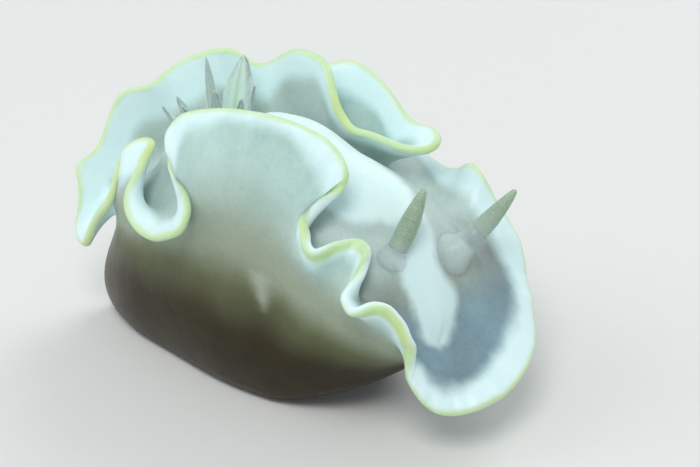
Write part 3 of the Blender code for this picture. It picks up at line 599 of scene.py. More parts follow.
# Even light from all round.
WORLD_COLOUR = (0.80, 0.84, 0.86, 1.0)
WORLD_STRENGTH = 0.55


def to_metres(points):
    return (np.asarray(points, float) - np.array([SOLE_X, 0, 0])) * MM


def to_table(place):
    return np.array(place) / MM + np.array([SOLE_X, 0, 0])


def choose(obj):
    """Make this object the only one that is selected."""
    bpy.ops.object.select_all(action="DESELECT")
    bpy.context.view_layer.objects.active = obj
    obj.select_set(True)


def set_attribute(obj, name, values):
    layer = obj.data.attributes.new(name, "FLOAT", "POINT")
    layer.data.foreach_set("value", np.ascontiguousarray(values, np.float32))


def new_piece(name, points, faces, material, **masks):
    """Closed smooth mesh in its final place, from points in millimetres, with its faces turned outward."""
    mesh = bpy.data.meshes.new(name)
    mesh.from_pydata(to_metres(points).tolist(), [], faces)
    obj = bpy.data.objects.new(name, mesh)
    bpy.context.scene.collection.objects.link(obj)
    mesh.polygons.foreach_set("use_smooth", np.ones(len(mesh.polygons), bool))
    choose(obj)
    bpy.ops.object.mode_set(mode="EDIT")
    bpy.ops.mesh.select_all(action="SELECT")
    bpy.ops.mesh.normals_make_consistent(inside=False)
    bpy.ops.object.mode_set(mode="OBJECT")
    obj.select_set(False)
    for mask, values in masks.items():
        set_attribute(obj, mask, values)
    mesh.materials.append(material)
    return obj


def tube_faces(rings, sides, base=0):
    """Faces of a closed tube: rings of points from base on, then the middle points of its two ends."""
    faces = []
    for j in range(rings - 1):
        a = base + j * sides
        for k in range(sides):
            m = (k + 1) % sides
            faces.append((a + k, a + m, a + sides + m, a + sides + k))
    first = base + rings * sides
    for k in range(sides):
        m = (k + 1) % sides
        faces.append((first, base + m, base + k))
        faces.append((first + 1, first - sides + k, first - sides + m))
    return faces


def even_out(obj, weights, rounds):
    """Relax the part of a mesh that the weights pick out."""
    picked = obj.vertex_groups.new(name="relaxed")
    for index in np.flatnonzero(weights > 0.01):
        picked.add([int(index)], float(weights[index]), "REPLACE")
    relax = obj.modifiers.new("Relax", "SMOOTH")
    relax.factor = 0.5
    relax.iterations = rounds
    relax.vertex_group = picked.name
    choose(obj)
    bpy.ops.object.modifier_apply(modifier=relax.name)
    obj.select_set(False)
    obj.vertex_groups.clear()


def step_between(low, high, value):
    share = np.clip((value - low) / (high - low), 0.0, 1.0)
    return share * share * (3 - 2 * share)


def softened(grid, rounds):
    """A grid of directions with each evened out with its neighbours, round the body and across."""
    for _ in range(rounds):
        across = np.concatenate([grid[:1], grid, grid[-1:]])
        grid = unit(across[:-2] + 2 * grid + across[2:])
        grid = unit(np.roll(grid, 1, 1) + 2 * grid + np.roll(grid, -1, 1))
    return grid


def fitted_half(middle, normal, half):
    """Half thickness, less where the skirt bends tightly, so that its inner face doesn't cross itself."""
    run = np.linalg.norm(np.roll(middle, -1, 1) - middle, axis=-1)
    turn = np.linalg.norm(np.roll(normal, -1, 1) - normal, axis=-1)
    radius = 0.8 * run / np.maximum(turn, 1e-6)
    near = np.minimum(radius, np.roll(radius, 1, 1))
    for _ in range(6):
        near = np.minimum(near, (np.roll(near, 1, 1) + near + np.roll(near, -1, 1)) / 3 + 0.02)
    return np.maximum(np.minimum(half, near[..., None]), LEAST_HALF)


def ripple(turns):
    """Small waves along the mantle's edge, in millimetres."""
    rng = random.Random(11)
    total = np.zeros(len(turns))
    for waves in RIPPLE_WAVES:
        start = rng.uniform(0, 2 * math.pi)
        total += np.sin(2 * math.pi * turns * waves + start) / waves
    return RIPPLE * total * RIPPLE_WAVES[0]


def pod_bulge(turns, v):
    """How far the far wall of the left pod swells back towards its near wall, so that the pod is closed."""
    round_it = np.exp(-(((turns - POD_TURN) / POD_SPREAD) ** 2))
    up_it = np.sin(math.pi * np.clip((v - 0.2) / 0.8, 0.0, 1.0)) ** 0.8
    return POD_SWELL * round_it[:, None] * up_it


def skin_grid(columns):
    """The whole skin as rows of points running round the body, ridge to sole, with what each row is."""
    turns = even_turns(columns)
    flat = np.ones(columns)
    v = np.linspace(0.0, 1.0, SKIN_ROWS["skirt"]) ** ROW_PACE
    plates = np.stack([skirt(turns, flat * k) + pod_bulge(turns, k) for k in v])
    for _ in range(ROW_ROUNDS):
        plates = (np.roll(plates, 1, 1) + 2 * plates + np.roll(plates, -1, 1)) / 4
    along = np.roll(plates, -1, 1) - np.roll(plates, 1, 1)
    normals = softened(unit(np.cross(along, np.gradient(plates, v, axis=0))), WAY_ROUNDS)
    plates = plates + normals * ripple(turns)[:, None] * (v**2)[:, None, None]
    half = (SKIRT_ROOT + (SKIRT_RIM - SKIRT_ROOT) * v**0.6)[:, None, None] / 2
    half = fitted_half(plates, normals, np.broadcast_to(half, (*plates.shape[:2], 1)))
    top = plates + normals * half
    under = plates - normals * half
    lift = top[0] - plates[0]
    rows = []
    kinds = []

    def add(row, kind, along):
        rows.append(row)
        kinds.append((kind, along))

    for q in np.linspace(0, 1, SKIN_ROWS["back"])[:-1]:
        add(back(turns, flat * q) + lift * q**3, "back", q)
    for k in range(len(v)):
        add(top[k], "top", v[k])
    run = unit(plates[-1] - plates[-3])
    for angle in np.linspace(0, 180, SKIN_ROWS["rim"] + 2)[1:-1]:
        a = math.radians(angle)
        add(plates[-1] + (normals[-1] * math.cos(a) + run * math.sin(a)) * half[-1], "rim", 1.0)
    for k in range(len(v) - 1, -1, -1):
        add(under[k], "under", v[k])
    drop = under[0] - plates[0]
    for q in np.linspace(0, 1, SKIN_ROWS["flank"])[1:]:
        add(flank(turns, flat * q) + drop * (1 - q) ** 3, "flank", q)
    for q in np.linspace(0, 1, SKIN_ROWS["sole"])[1:]:
        add(sole(turns, flat * q), "sole", q)
    return turns, np.stack(rows), kinds


def fillet(grid, kinds, rounds):
    """Round off where the skirt meets the back and the flank, along each row of the profile."""
    weight = np.zeros(len(kinds))
    for row, (kind, along) in enumerate(kinds):
        if kind in ("top", "under"):
            weight[row] = 1 - step_between(0.12, 0.42, along)
        if kind == "back":
            weight[row] = step_between(0.70, 0.92, along)
        if kind == "flank":
            weight[row] = 1 - step_between(0.06, 0.30, along)
    weight = weight[:, None, None]
    for _ in range(rounds):
        wide = np.concatenate([grid[:1], grid, grid[-1:]])
        even = (wide[:-2] + wide[2:]) / 2
        grid = grid + (even - grid) * weight * 0.5
    return grid


def rim_distance(grid, kinds, turns):
    """Millimetres from each point to the middle line of the green edge, along its own profile."""
    step = np.linalg.norm(np.diff(grid, axis=0), axis=-1)
    run = np.concatenate([np.zeros((1, grid.shape[1])), np.cumsum(step, axis=0)])
    rim_rows = [row for row, (kind, _) in enumerate(kinds) if kind == "rim"]
    shift = step_between(EDGE_TURNS[0] - 0.01, EDGE_TURNS[0] + 0.01, turns)
    shift = shift * (1 - step_between(EDGE_TURNS[1] - 0.01, EDGE_TURNS[1] + 0.01, turns))
    return np.abs(run - run[rim_rows[len(rim_rows) // 2]] - EDGE_SHIFT * shift)


def patch_depth(points):
    """Millimetres inside the edge of the white patch on the back, less than 0 outside it."""
    line = np.array([row[:3] for row in PATCH])
    wide = np.array([row[3] for row in PATCH])
    best = np.full(len(points), -9.0)
    for i in range(len(line) - 1):
        way = line[i + 1] - line[i]
        share = np.clip(((points - line[i]) @ way) / (way @ way), 0, 1)
        near = line[i] + share[:, None] * way
        inside = wide[i] + (wide[i + 1] - wide[i]) * share - np.linalg.norm(points - near, axis=1)
        best = np.maximum(best, inside)
    return best


def band_width(turns, face):
    """Width of the white band at each turn, on the top face (1) or the under face (2)."""
    where = np.array([row[0] for row in BANDS] + [1.0])
    wide = np.array([row[face] for row in BANDS] + [BANDS[0][face]])
    return np.interp(np.mod(turns, 1.0), where, wide)


def collar(points, centre, axis, radius, wide, high, dip):
    """Push points up round a feeler or the gills, into a soft ring with a slight hollow inside."""
    axis = unit(np.asarray(axis, float))
    gap = points - centre
    level = gap @ axis
    away = np.linalg.norm(gap - level[:, None] * axis, axis=1)
    near = np.exp(-((away - radius) / wide) ** 2) * high
    hollow = (1 - step_between(radius * 0.35, radius * 0.95, away)) * dip
    close = (np.abs(level) < radius * 1.1 + 0.6)[:, None]
    return points + axis * ((near - hollow)[:, None]) * close


def surface_tree(obj):
    return BVHTree.FromObject(obj, bpy.context.evaluated_depsgraph_get())


def surface_at(tree, start, way):
    """Where a straight line from a point in millimetres first meets the skin, and the skin's normal there."""
    place, normal = tree.ray_cast(Vector(to_metres(start)), Vector(unit(np.asarray(way, float))))[:2]
    return to_table(place), np.array(normal)


def nearest_skin(tree, place):
    near, normal = tree.find_nearest(Vector(to_metres(place)))[:2]
    return to_table(near), np.array(normal)


def node_input(group, name, kind, value, low=None, high=None):
    socket = group.interface.new_socket(name, in_out="INPUT", socket_type=kind)
    socket.default_value = value
    if low is not None:
        socket.min_value = low
        socket.max_value = high


def mottle_group():
    """Group of soft clouds and fine grains that wet flesh shows: a tint, a mask and a height."""
    found = bpy.data.node_groups.get("Flesh mottle")
    if found:
        return found
    group = bpy.data.node_groups.new("Flesh mottle", "ShaderNodeTree")
    node_input(group, "Color", "NodeSocketColor", (0.6, 0.7, 0.65, 1.0))
    node_input(group, "Cloud size", "NodeSocketFloat", 380.0, 1.0, 20000.0)
    node_input(group, "Cloud strength", "NodeSocketFloat", 0.2, 0.0, 1.0)
    node_input(group, "Grain size", "NodeSocketFloat", 4200.0, 1.0, 60000.0)
    node_input(group, "Grain strength", "NodeSocketFloat", 0.1, 0.0, 1.0)
    for name, kind in (("Color", "Color"), ("Cloud", "Float"), ("Height", "Float")):
        group.interface.new_socket(name, in_out="OUTPUT", socket_type="NodeSocket" + kind)
    nodes = group.nodes
    links = group.links
    start = nodes.new("NodeGroupInput")
    end = nodes.new("NodeGroupOutput")
    place = nodes.new("ShaderNodeTexCoord")
    colour = start.outputs["Color"]
    noises = []
    for name, detail in (("Cloud", 3.0), ("Grain", 2.0)):
        noise = nodes.new("ShaderNodeTexNoise")
        noise.inputs["Detail"].default_value = detail
        links.new(place.outputs["Object"], noise.inputs["Vector"])
        links.new(start.outputs[name + " size"], noise.inputs["Scale"])
        overlay = nodes.new("ShaderNodeMix")
        overlay.data_type = "RGBA"
        overlay.blend_type = "OVERLAY"
        links.new(colour, overlay.inputs["A"])
        links.new(noise.outputs["Fac"], overlay.inputs["B"])
        links.new(start.outputs[name + " strength"], overlay.inputs["Factor"])
        colour = overlay.outputs["Result"]
        noises.append(noise.outputs["Fac"])
    links.new(colour, end.inputs["Color"])
    links.new(noises[0], end.inputs["Cloud"])
    total = nodes.new("ShaderNodeMath")
    total.operation = "MULTIPLY_ADD"
    total.inputs[1].default_value = 0.25
    links.new(noises[1], total.inputs[0])
    links.new(noises[0], total.inputs[2])
    links.new(total.outputs["Value"], end.inputs["Height"])
    return group


class Paint:
    """Small helper that wires up one material."""

    def __init__(self, name):
        self.material = bpy.data.materials.new(name)
        self.material.use_nodes = True
        self.nodes = self.material.node_tree.nodes
        self.links = self.material.node_tree.links
        self.shader = self.nodes["Principled BSDF"]

    def node(self, kind, **values):
        """New node with its inputs linked or set."""
        node = self.nodes.new("ShaderNode" + kind)
        for name, value in values.items():
            self.feed(node.inputs[name], value)
        return node

    def feed(self, socket, value):
        """Link an output to a socket, or set the socket's own value."""
        if isinstance(value, bpy.types.NodeSocket):
            self.links.new(value, socket)
        elif socket.type == "RGBA":
            socket.default_value = (*value[:3], 1.0)
        else:
            socket.default_value = value

    def attribute(self, name):
        node = self.node("Attribute")
        node.attribute_name = name
        return node.outputs["Fac"]

    def spread(self, source, low, high):
        """0 at low, 1 at high, smooth between."""
        node = self.node("MapRange", Value=source)
        node.interpolation_type = "SMOOTHSTEP"
        node.inputs["From Min"].default_value = low
        node.inputs["From Max"].default_value = high
        return node.outputs["Result"]

    def math(self, operation, *values):
        node = self.node("Math")
        node.operation = operation
        for socket, value in zip(node.inputs, values):
            self.feed(socket, value)
        return node.outputs["Value"]

    def noise(self, scale, detail=2.0):
        place = self.node("TexCoord").outputs["Object"]
        return self.node("TexNoise", Vector=place, Scale=scale, Detail=detail).outputs["Fac"]

    def stray(self, source, scale, detail, size):
        """A value that noise moves up and down, by half the size each way."""
        return self.math("ADD", source, self.math("MULTIPLY_ADD", self.noise(scale, detail), size, -size / 2))

    def mix(self, mask, below, above):
        node = self.node("Mix")
        node.data_type = "RGBA"
        for name, value in (("Factor", mask), ("A", below), ("B", above)):
            self.feed(node.inputs[name], value)
        return node.outputs["Result"]

    def mottle(self, colour, clouds, cloud_strength, grains, grain_strength):
        node = self.node("Group")
        node.node_tree = mottle_group()
        values = (colour, clouds, cloud_strength, grains, grain_strength)
        for socket, value in zip(node.inputs, values):
            self.feed(socket, value)
        return node

    def surface(self, colour, height=None, strength=0.3, distance=0.0001):
        """Give the shader its colour and the height of its fine relief."""
        self.feed(self.shader.inputs["Base Color"], colour)
        if height is not None:
            bump = self.node("Bump", Strength=strength, Distance=distance, Height=height)
            self.feed(self.shader.inputs["Normal"], bump.outputs["Normal"])

    def flesh(self, roughness, soft, coat):
        """Wet, slightly see-through flesh."""
        self.shader.inputs["Specular IOR Level"].default_value = 0.3
        self.shader.inputs["Roughness"].default_value = roughness
        self.shader.inputs["Subsurface Weight"].default_value = soft
        self.shader.inputs["Subsurface Radius"].default_value = (1.0, 0.9, 0.75)
        self.shader.inputs["Subsurface Scale"].default_value = 0.0012
        self.shader.inputs["Coat Weight"].default_value = coat
        self.shader.inputs["Coat Roughness"].default_value = 0.12
        self.shader.inputs["IOR"].default_value = 1.38
        return self.material


def colour_prop(name, words, value):
    return bpy.props.FloatVectorProperty(
        name=name, description=words, default=value, size=3, min=0.0, max=1.0, subtype="COLOR")


class SLUG_PG_skin(bpy.types.PropertyGroup):
    """Sizes and colours of the skin."""

    columns: bpy.props.IntProperty(
        name="Columns", description="Points round the body", default=720, min=120, max=800)
    edge_width: bpy.props.FloatProperty(
        name="Green edge", description="Width of the green edge of the mantle, in millimetres",
        default=0.44, min=0.05, max=2.0)
    edge_colour: colour_prop("Green edge colour", "Yellow green line round the mantle", (0.54, 0.74, 0.44))
    band_colour: colour_prop("White band colour", "Opaque white inside the edge", (0.70, 0.90, 0.92))
    patch_colour: colour_prop("Patch colour", "Opaque white down the back", (0.68, 0.86, 0.86))
    mantle_colour: colour_prop("Mantle colour", "See-through grey of the mantle", (0.46, 0.58, 0.555))
    # Painted shade: blue grey that darkens the hollow of the front lobe and the low front of the head.
    lobe_hollow_shade_colour: colour_prop("Front lobe colour", "Blue grey of the front lobe's hollow", (0.21, 0.32, 0.37))
    under_colour: colour_prop("Underside colour", "Pale blue grey under the mantle", (0.46, 0.63, 0.60))
    shoulder_colour: colour_prop("Shoulder colour", "Grey where mantle meets flank", (0.32, 0.375, 0.285))
    # Flank colour: the flanks' own green grey, darkened with painted shade.
    flank_and_shade_colour: colour_prop("Flank colour", "Green grey of the flanks", (0.125, 0.142, 0.068))
    # Gland colour: the olive brown gland that shows low down, darkened with painted shade.
    gland_and_shade_colour: colour_prop("Gland colour", "Olive brown that shows low down", (0.024, 0.017, 0.002))


class SLUG_PG_feelers(bpy.types.PropertyGroup):
    """Sizes and colours of the feelers and gills."""

    leaves: bpy.props.IntProperty(
        name="Leaves", description="Thin leaves on each large feeler", default=22, min=6, max=40)
    feeler_colour: colour_prop("Feeler colour", "Grey green of the large feelers", (0.30, 0.41, 0.31))
    grain_colour: colour_prop("Grain colour", "White grains on the leaves' edges", (0.85, 0.90, 0.84))
    gill_colour: colour_prop("Gill colour", "Grey white of the gills", (0.58, 0.79, 0.70))
    gill_line_colour: colour_prop("Gill line colour", "Green grey line up each gill", (0.46, 0.62, 0.46))


class SLUG_PG_stage(bpy.types.PropertyGroup):
    """Floor and light of the studio."""

    floor_colour: colour_prop("Floor colour", "Plain pale floor", (0.74, 0.74, 0.73))
    key_power: bpy.props.FloatProperty(
        name="Main light", description="Power of the main light, in watts", default=0.74, min=0.0, max=20.0)
    fill_power: bpy.props.FloatProperty(
        name="Fill light", description="Power of the fill light, in watts", default=0.35, min=0.0, max=20.0)


def skin_material(settings):
    """One material for back, mantle and flanks, painted by the skin's own masks."""
    paint = Paint("Wet skin")
    rim = paint.stray(paint.attribute("rim_mm"), 700.0, 2.0, 0.30)
    band_at = paint.stray(paint.attribute("band_mm"), 330.0, 3.0, 1.5)
    patch_at = paint.stray(paint.attribute("patch_mm"), 330.0, 3.0, 1.5)

    # Under side: pale at the rim, grey at the shoulder, then green grey down to olive brown near the foot.
    # The flank's own colour and gland are darkened with painted shade lower down, and there is a painted
    # shadow low on the right of the tail.
    down = paint.stray(paint.attribute("down"), 260.0, 3.0, 0.22)
    under = paint.mottle(settings.under_colour, 420.0, 0.30, 4200.0, 0.08)
    shoulder = paint.mix(paint.spread(down, -0.75, -0.05), under.outputs["Color"], settings.shoulder_colour)
    side = paint.mix(paint.spread(down, -0.08, 0.24), shoulder, settings.flank_and_shade_colour)
    # Painted shadow low on the right side of the tail.
    tail = paint.mix(paint.math("MULTIPLY", paint.attribute("tail_shade"), 0.6), side, (0.085, 0.10, 0.055))
    gland_and_shade_skin = paint.mottle(settings.gland_and_shade_colour, 480.0, 0.55, 3200.0, 0.15)
    lower = paint.mix(paint.spread(down, 0.12, 0.56), tail, gland_and_shade_skin.outputs["Color"])
    pored = paint.mix(paint.math("MULTIPLY", paint.attribute("pore"), 0.75), lower, (0.40, 0.45, 0.38))

    # Top side: see-through blue grey, with paler clouds. Painted shade darkens it to grey, then blue grey,
    # lower down on the head and in the hollow of the front lobe.
    lobe = paint.attribute("lobe")
    head = paint.mix(paint.spread(lobe, 0.0, 0.5), settings.mantle_colour, (0.33, 0.39, 0.35))
    lobe_shaded = paint.mix(paint.spread(lobe, 0.45, 1.0), head, settings.lobe_hollow_shade_colour)
    upper = paint.mottle(lobe_shaded, 300.0, 0.35, 5200.0, 0.08)
    both = paint.mix(paint.attribute("below"), upper.outputs["Color"], pored)
    spotted = paint.mix(paint.spread(patch_at, -0.35, 0.40), both, settings.patch_colour)
    banded = paint.mix(paint.spread(band_at, 0.80, -0.50), spotted, settings.band_colour)
    line = paint.spread(rim, settings.edge_width + 0.24, settings.edge_width - 0.26)
    yellower = paint.spread(paint.noise(210.0, 1.0), 0.46, 0.66)
    edge_skin = paint.mix(yellower, settings.edge_colour, (0.58, 0.73, 0.35))
    edged = paint.mix(line, banded, edge_skin)
    grain = paint.mottle(edged, 900.0, 0.08, 3600.0, 0.06)
    paint.surface(grain.outputs["Color"], grain.outputs["Height"], 0.30, 0.00012)
    return paint.flesh(0.42, 0.55, 0.16)


def feeler_material(settings):
    paint = Paint("Feeler")
    mottled = paint.mottle(settings.feeler_colour, 900.0, 0.25, 9000.0, 0.2)
    grains = paint.spread(paint.noise(6200.0, 1.0), 0.52, 0.60)
    mask = paint.math("MULTIPLY", paint.math("MULTIPLY", grains, paint.attribute("leaf_edge")), 0.55)
    colour = paint.mix(mask, mottled.outputs["Color"], settings.grain_colour)
    root = paint.mix(paint.attribute("root"), colour, (0.40, 0.50, 0.47))
    paint.surface(root, mottled.outputs["Height"])
    return paint.flesh(0.40, 0.35, 0.3)


def gill_material(settings):
    paint = Paint("Gill")
    mottled = paint.mottle(settings.gill_colour, 1200.0, 0.2, 9000.0, 0.15)
    colour = paint.mix(paint.attribute("stem"), mottled.outputs["Color"], settings.gill_line_colour)
    paint.surface(colour, mottled.outputs["Height"], 0.25)
    return paint.flesh(0.50, 0.60, 0.06)


def mouth_material():
    paint = Paint("Pale flesh")
    mottled = paint.mottle((0.55, 0.60, 0.50), 900.0, 0.2, 6000.0, 0.12)
    paint.surface(mottled.outputs["Color"], mottled.outputs["Height"])
    return paint.flesh(0.42, 0.45, 0.3)


def floor_material(settings):
    paint = Paint("Studio floor")
    shade = paint.mottle(settings.floor_colour, 14.0, 0.05, 900.0, 0.03)
    paint.surface(shade.outputs["Color"])
    paint.shader.inputs["Roughness"].default_value = 0.75
    return paint.material


def welded(count, columns):
    """Point number in each row and column once the first and last rows are closed along their middle."""
    ids = np.arange(count * columns).reshape(count, columns)
    for row in (0, count - 1):
        for i in range(columns // 2 + 1, columns):
            ids[row, i] = ids[row, columns - i]
    used, places = np.unique(ids, return_inverse=True)
    return used, places.reshape(count, columns)


def skin_faces(places):
    count, columns = places.shape
    faces = []
    for row in range(count - 1):
        for i in range(columns):
            k = (i + 1) % columns
            quad = (places[row][i], places[row][k], places[row + 1][k], places[row + 1][i])
            ring = [int(p) for n, p in enumerate(quad) if p != quad[n - 1]]
            if len(set(ring)) >= 3:
                faces.append(ring)
    return faces


def pore_mask(points, out):
    """1 on the swelling over the pore, which widens towards its upper end."""
    run = unit(np.array(PORE_RUN))
    from_pore = points - FLANK_PORE
    up_it = from_pore @ run / PORE_LONG
    across_it = from_pore @ unit(np.cross(run, out)) / PORE_WIDE
    return np.exp(-(up_it**4) - (across_it / (1 + 0.55 * np.clip(up_it, -1, 1))) ** 2) * (points[:, 1] < 0)


def make_skin(settings):
    columns = settings.columns - settings.columns % 2
    turns, grid, kinds = skin_grid(columns)
    grid = fillet(grid, kinds, FILLET_ROUNDS)
    rims = rim_distance(grid, kinds, turns)
    used, places = welded(len(kinds), columns)
    points = grid.reshape(-1, 3)[used]
    rims = rims.reshape(-1)[used]
    row_of = used // columns
    names = np.array([kind for kind, _ in kinds])[row_of]
    share = np.array([along for _, along in kinds])[row_of]
    above = (names == "back") | (names == "top")
    points[above] = collar(points[above], GILL_CENTRE, GILL_UP, GILL_POCKET, wide=0.55, high=0.65, dip=0.5)
    out = unit(np.array(PORE_OUT))
    pore = pore_mask(points, out) * (names == "flank")
    points = points + out * (pore * PORE_HIGH)[:, None]
    obj = new_piece("slug_skin", points, skin_faces(places), skin_material(settings))
    on_back = names == "back"
    even_out(obj, (1 - step_between(0.22, 0.42, share)) * on_back, BACK_ROUNDS)
    at_head = step_between(5.5, 7.0, points[:, 0])
    even_out(obj, (1 - step_between(0.50, 0.80, share)) * on_back * at_head, HEAD_ROUNDS)

    below = (~above).astype(float)
    below[names == "rim"] = 0.5
    turn_of = np.tile(turns, len(kinds))[used]
    wide = np.where(above, band_width(turn_of, 1), band_width(turn_of, 2))
    wide[names == "rim"] = 1.0
    down = np.where(names == "flank", share, np.where(names == "sole", 1.0, -share))
    # Less of the gland colour and painted shade towards the head.
    lighter_ahead = 0.25 * step_between(-3.0, 6.0, points[:, 0])
    # Painted shade on the top faces of the head and front lobe, deepest low down and far forward.
    lobe = (1 - step_between(*LOBE_SHADE_HEIGHTS, points[:, 2])) * step_between(*LOBE_SHADE_PLACES, points[:, 0]) * above
    from_tail = (points[:, (0, 2)] - np.array(TAIL_SHADE)) / TAIL_SHADE_SIZE
    masks = {
        "rim_mm": np.minimum(rims, 12.0),
        "band_mm": np.clip(rims - wide - 0.4, -6.0, 12.0),
        "patch_mm": np.where(above, patch_depth(points), -6.0),
        "down": np.where(above, -1.0, down - lighter_ahead),
        "tail_shade": np.exp(-np.sum(from_tail**4, axis=1)) * (down > 0) * (points[:, 1] < 0),
        "below": below,
        "lobe": lobe,
        "pore": pore,
    }
    for mask, values in masks.items():
        set_attribute(obj, mask, values)
    return obj


def feeler_line(tree, root, tip):
    """The bowed line of a large feeler, from under the skin to its tip."""
    foot = nearest_skin(tree, root)[0]
    along = unit(np.array(tip) - foot)
    return curve_between(foot - along * 0.4, np.array(tip), FEELER_BEND, FEELER_STEPS)


def make_sheath(side, skin, tree, root, tip, top, base, high):
    """Soft cone of skin that a large feeler stands in, painted as the pale skin round its foot is, but paler
    up its wall where the front lobe's painted shade fades out.
    """
    foot, normal = nearest_skin(tree, root)
    line = feeler_line(tree, root, tip)
    from_lip = np.abs(np.linalg.norm(line - foot, axis=1) - high)
    from_lip[:30] += 9.0
    at = int(np.argmin(from_lip))
    head = line[at]
    axis = unit(line[at + 1] - line[at])
    a = unit(np.cross(axis, (0.0, 0.0, 1.0)))
    b = np.cross(axis, a)
    sides = SHEATH_SIDES
    steps = SHEATH_STEPS
    rings = [[] for _ in range(steps + 5)]
    for k in range(sides):
        angle = 2 * math.pi * k / sides
        way = a * math.cos(angle) + b * math.sin(angle)
        level = unit(way - normal * np.dot(way, normal))
        low, low_normal = surface_at(tree, foot + level * base + normal * 1.2, -normal)
        out = unit((low - foot) - low_normal * np.dot(low - foot, low_normal))
        low = low + out * 0.2 - low_normal * 0.10
        lip = head + way * top
        reach = np.linalg.norm(low - lip)
        first = low - out * (base - top) * 0.9
        second = lip - axis * reach * 0.55
        wall = bezier(low, first, second, lip, np.linspace(0, 1, steps)[:, None])
        inner = top - SHEATH_LIP
        over = [
            lip + axis * SHEATH_LIP * 0.45 - way * SHEATH_LIP * 0.30,
            lip + axis * SHEATH_LIP * 0.45 - way * SHEATH_LIP * 0.70,
            lip - way * SHEATH_LIP,
            head - axis * high * 0.5 + way * inner,
        ]
        for ring, p in zip(rings, [low - low_normal * 0.3, *wall, *over]):
            ring.append(p)
    points = [p for ring in rings for p in ring]
    points.append(foot - normal * 0.5)
    points.append(head - axis * high * 0.5)
    faces = tube_faces(len(rings), sides)
    obj = new_piece(f"feeler_sheath_{side}", points, faces, skin.data.materials[0])
    nearest = KDTree(len(skin.data.vertices))
    for vertex in skin.data.vertices:
        nearest.insert(vertex.co, vertex.index)
    nearest.balance()
    found = [nearest.find(vertex.co)[1] for vertex in obj.data.vertices]
    # Up the wall the front lobe's painted shade fades out, so the sheath is painted paler where it catches
    # the light.
    lobe_shade_kept = 1 - step_between(2.0, 12.0, np.arange(len(found)) // sides)
    for layer in list(skin.data.attributes):
        if layer.domain == "POINT" and layer.data_type == "FLOAT":
            values = np.zeros(len(skin.data.vertices), np.float32)
            layer.data.foreach_get("value", values)
            set_attribute(obj, layer.name, values[found] * (lobe_shade_kept if layer.name == "lobe" else 1))
    return obj


def frames(line, across):
    """Each point of a line with the two ways across it."""
    for p, d in zip(line, unit(np.gradient(line, axis=0))):
        a = unit(across - d * np.dot(across, d))
        yield p, a, np.cross(d, a)


def ringed_tube(line, radii, sides, across):
    """Points and faces of a closed tube along a line."""
    points = []
    for (p, a, b), r in zip(frames(line, across), radii):
        for k in range(sides):
            angle = 2 * math.pi * k / sides
            points.append(p + (a * math.cos(angle) + b * math.sin(angle)) * r)
    end_run = unit(line[-1] - line[-2])
    points.extend([line[0], line[-1] + end_run * radii[-1] * 0.6])
    return points, tube_faces(len(line), sides)


def make_feeler(side, tree, root, tip, settings, material):
    """A large feeler: a smooth stalk, then a club ringed with slanting leaves that carry white grains."""
    line = feeler_line(tree, root, tip)
    share = np.linspace(0, 1, len(line))
    front = unit(np.array([*AHEAD[:2], 0.2]))
    sides = FEELER_SIDES
    points = []
    edge = []
    stalk = []
    club = np.interp(share, *CLUB)
    for (p, a, b), s, c in zip(frames(line, front), share, club):
        ringed = float(np.interp(s, (0.24, 0.30, 0.93, 0.98), (0, 1, 1, 0)))
        for k in range(sides):
            angle = 2 * math.pi * k / sides
            slant = LEAF_SLANT * math.cos(angle)
            phase = ((s + slant) * settings.leaves / LEAF_SPAN) % 1.0
            leaf = 1 - abs(phase - 0.35) / (0.35 if phase < 0.35 else 0.65)
            groove = 0.5 + 0.5 * math.cos(angle)
            depth = LEAF_DEPTH * ringed * (0.35 + 0.65 * (1 - groove**6))
            r = RHINO_RADIUS * c * (1 - depth * (1 - leaf))
            points.append(p + (a * math.cos(angle) + b * math.sin(angle) * 0.92) * r)
            edge.append(0.55 * ringed * max(0.0, leaf - 0.6) / 0.4)
            stalk.append(1 - float(np.interp(s, FEELER_PALE[side], (0, 1))))
    points.extend([line[0], line[-1]])
    return new_piece(
        f"feeler_{side}", points, tube_faces(len(line), sides), material,
        leaf_edge=np.array([*edge, 0, 0]), root=np.array([*stalk, 1, 0]))


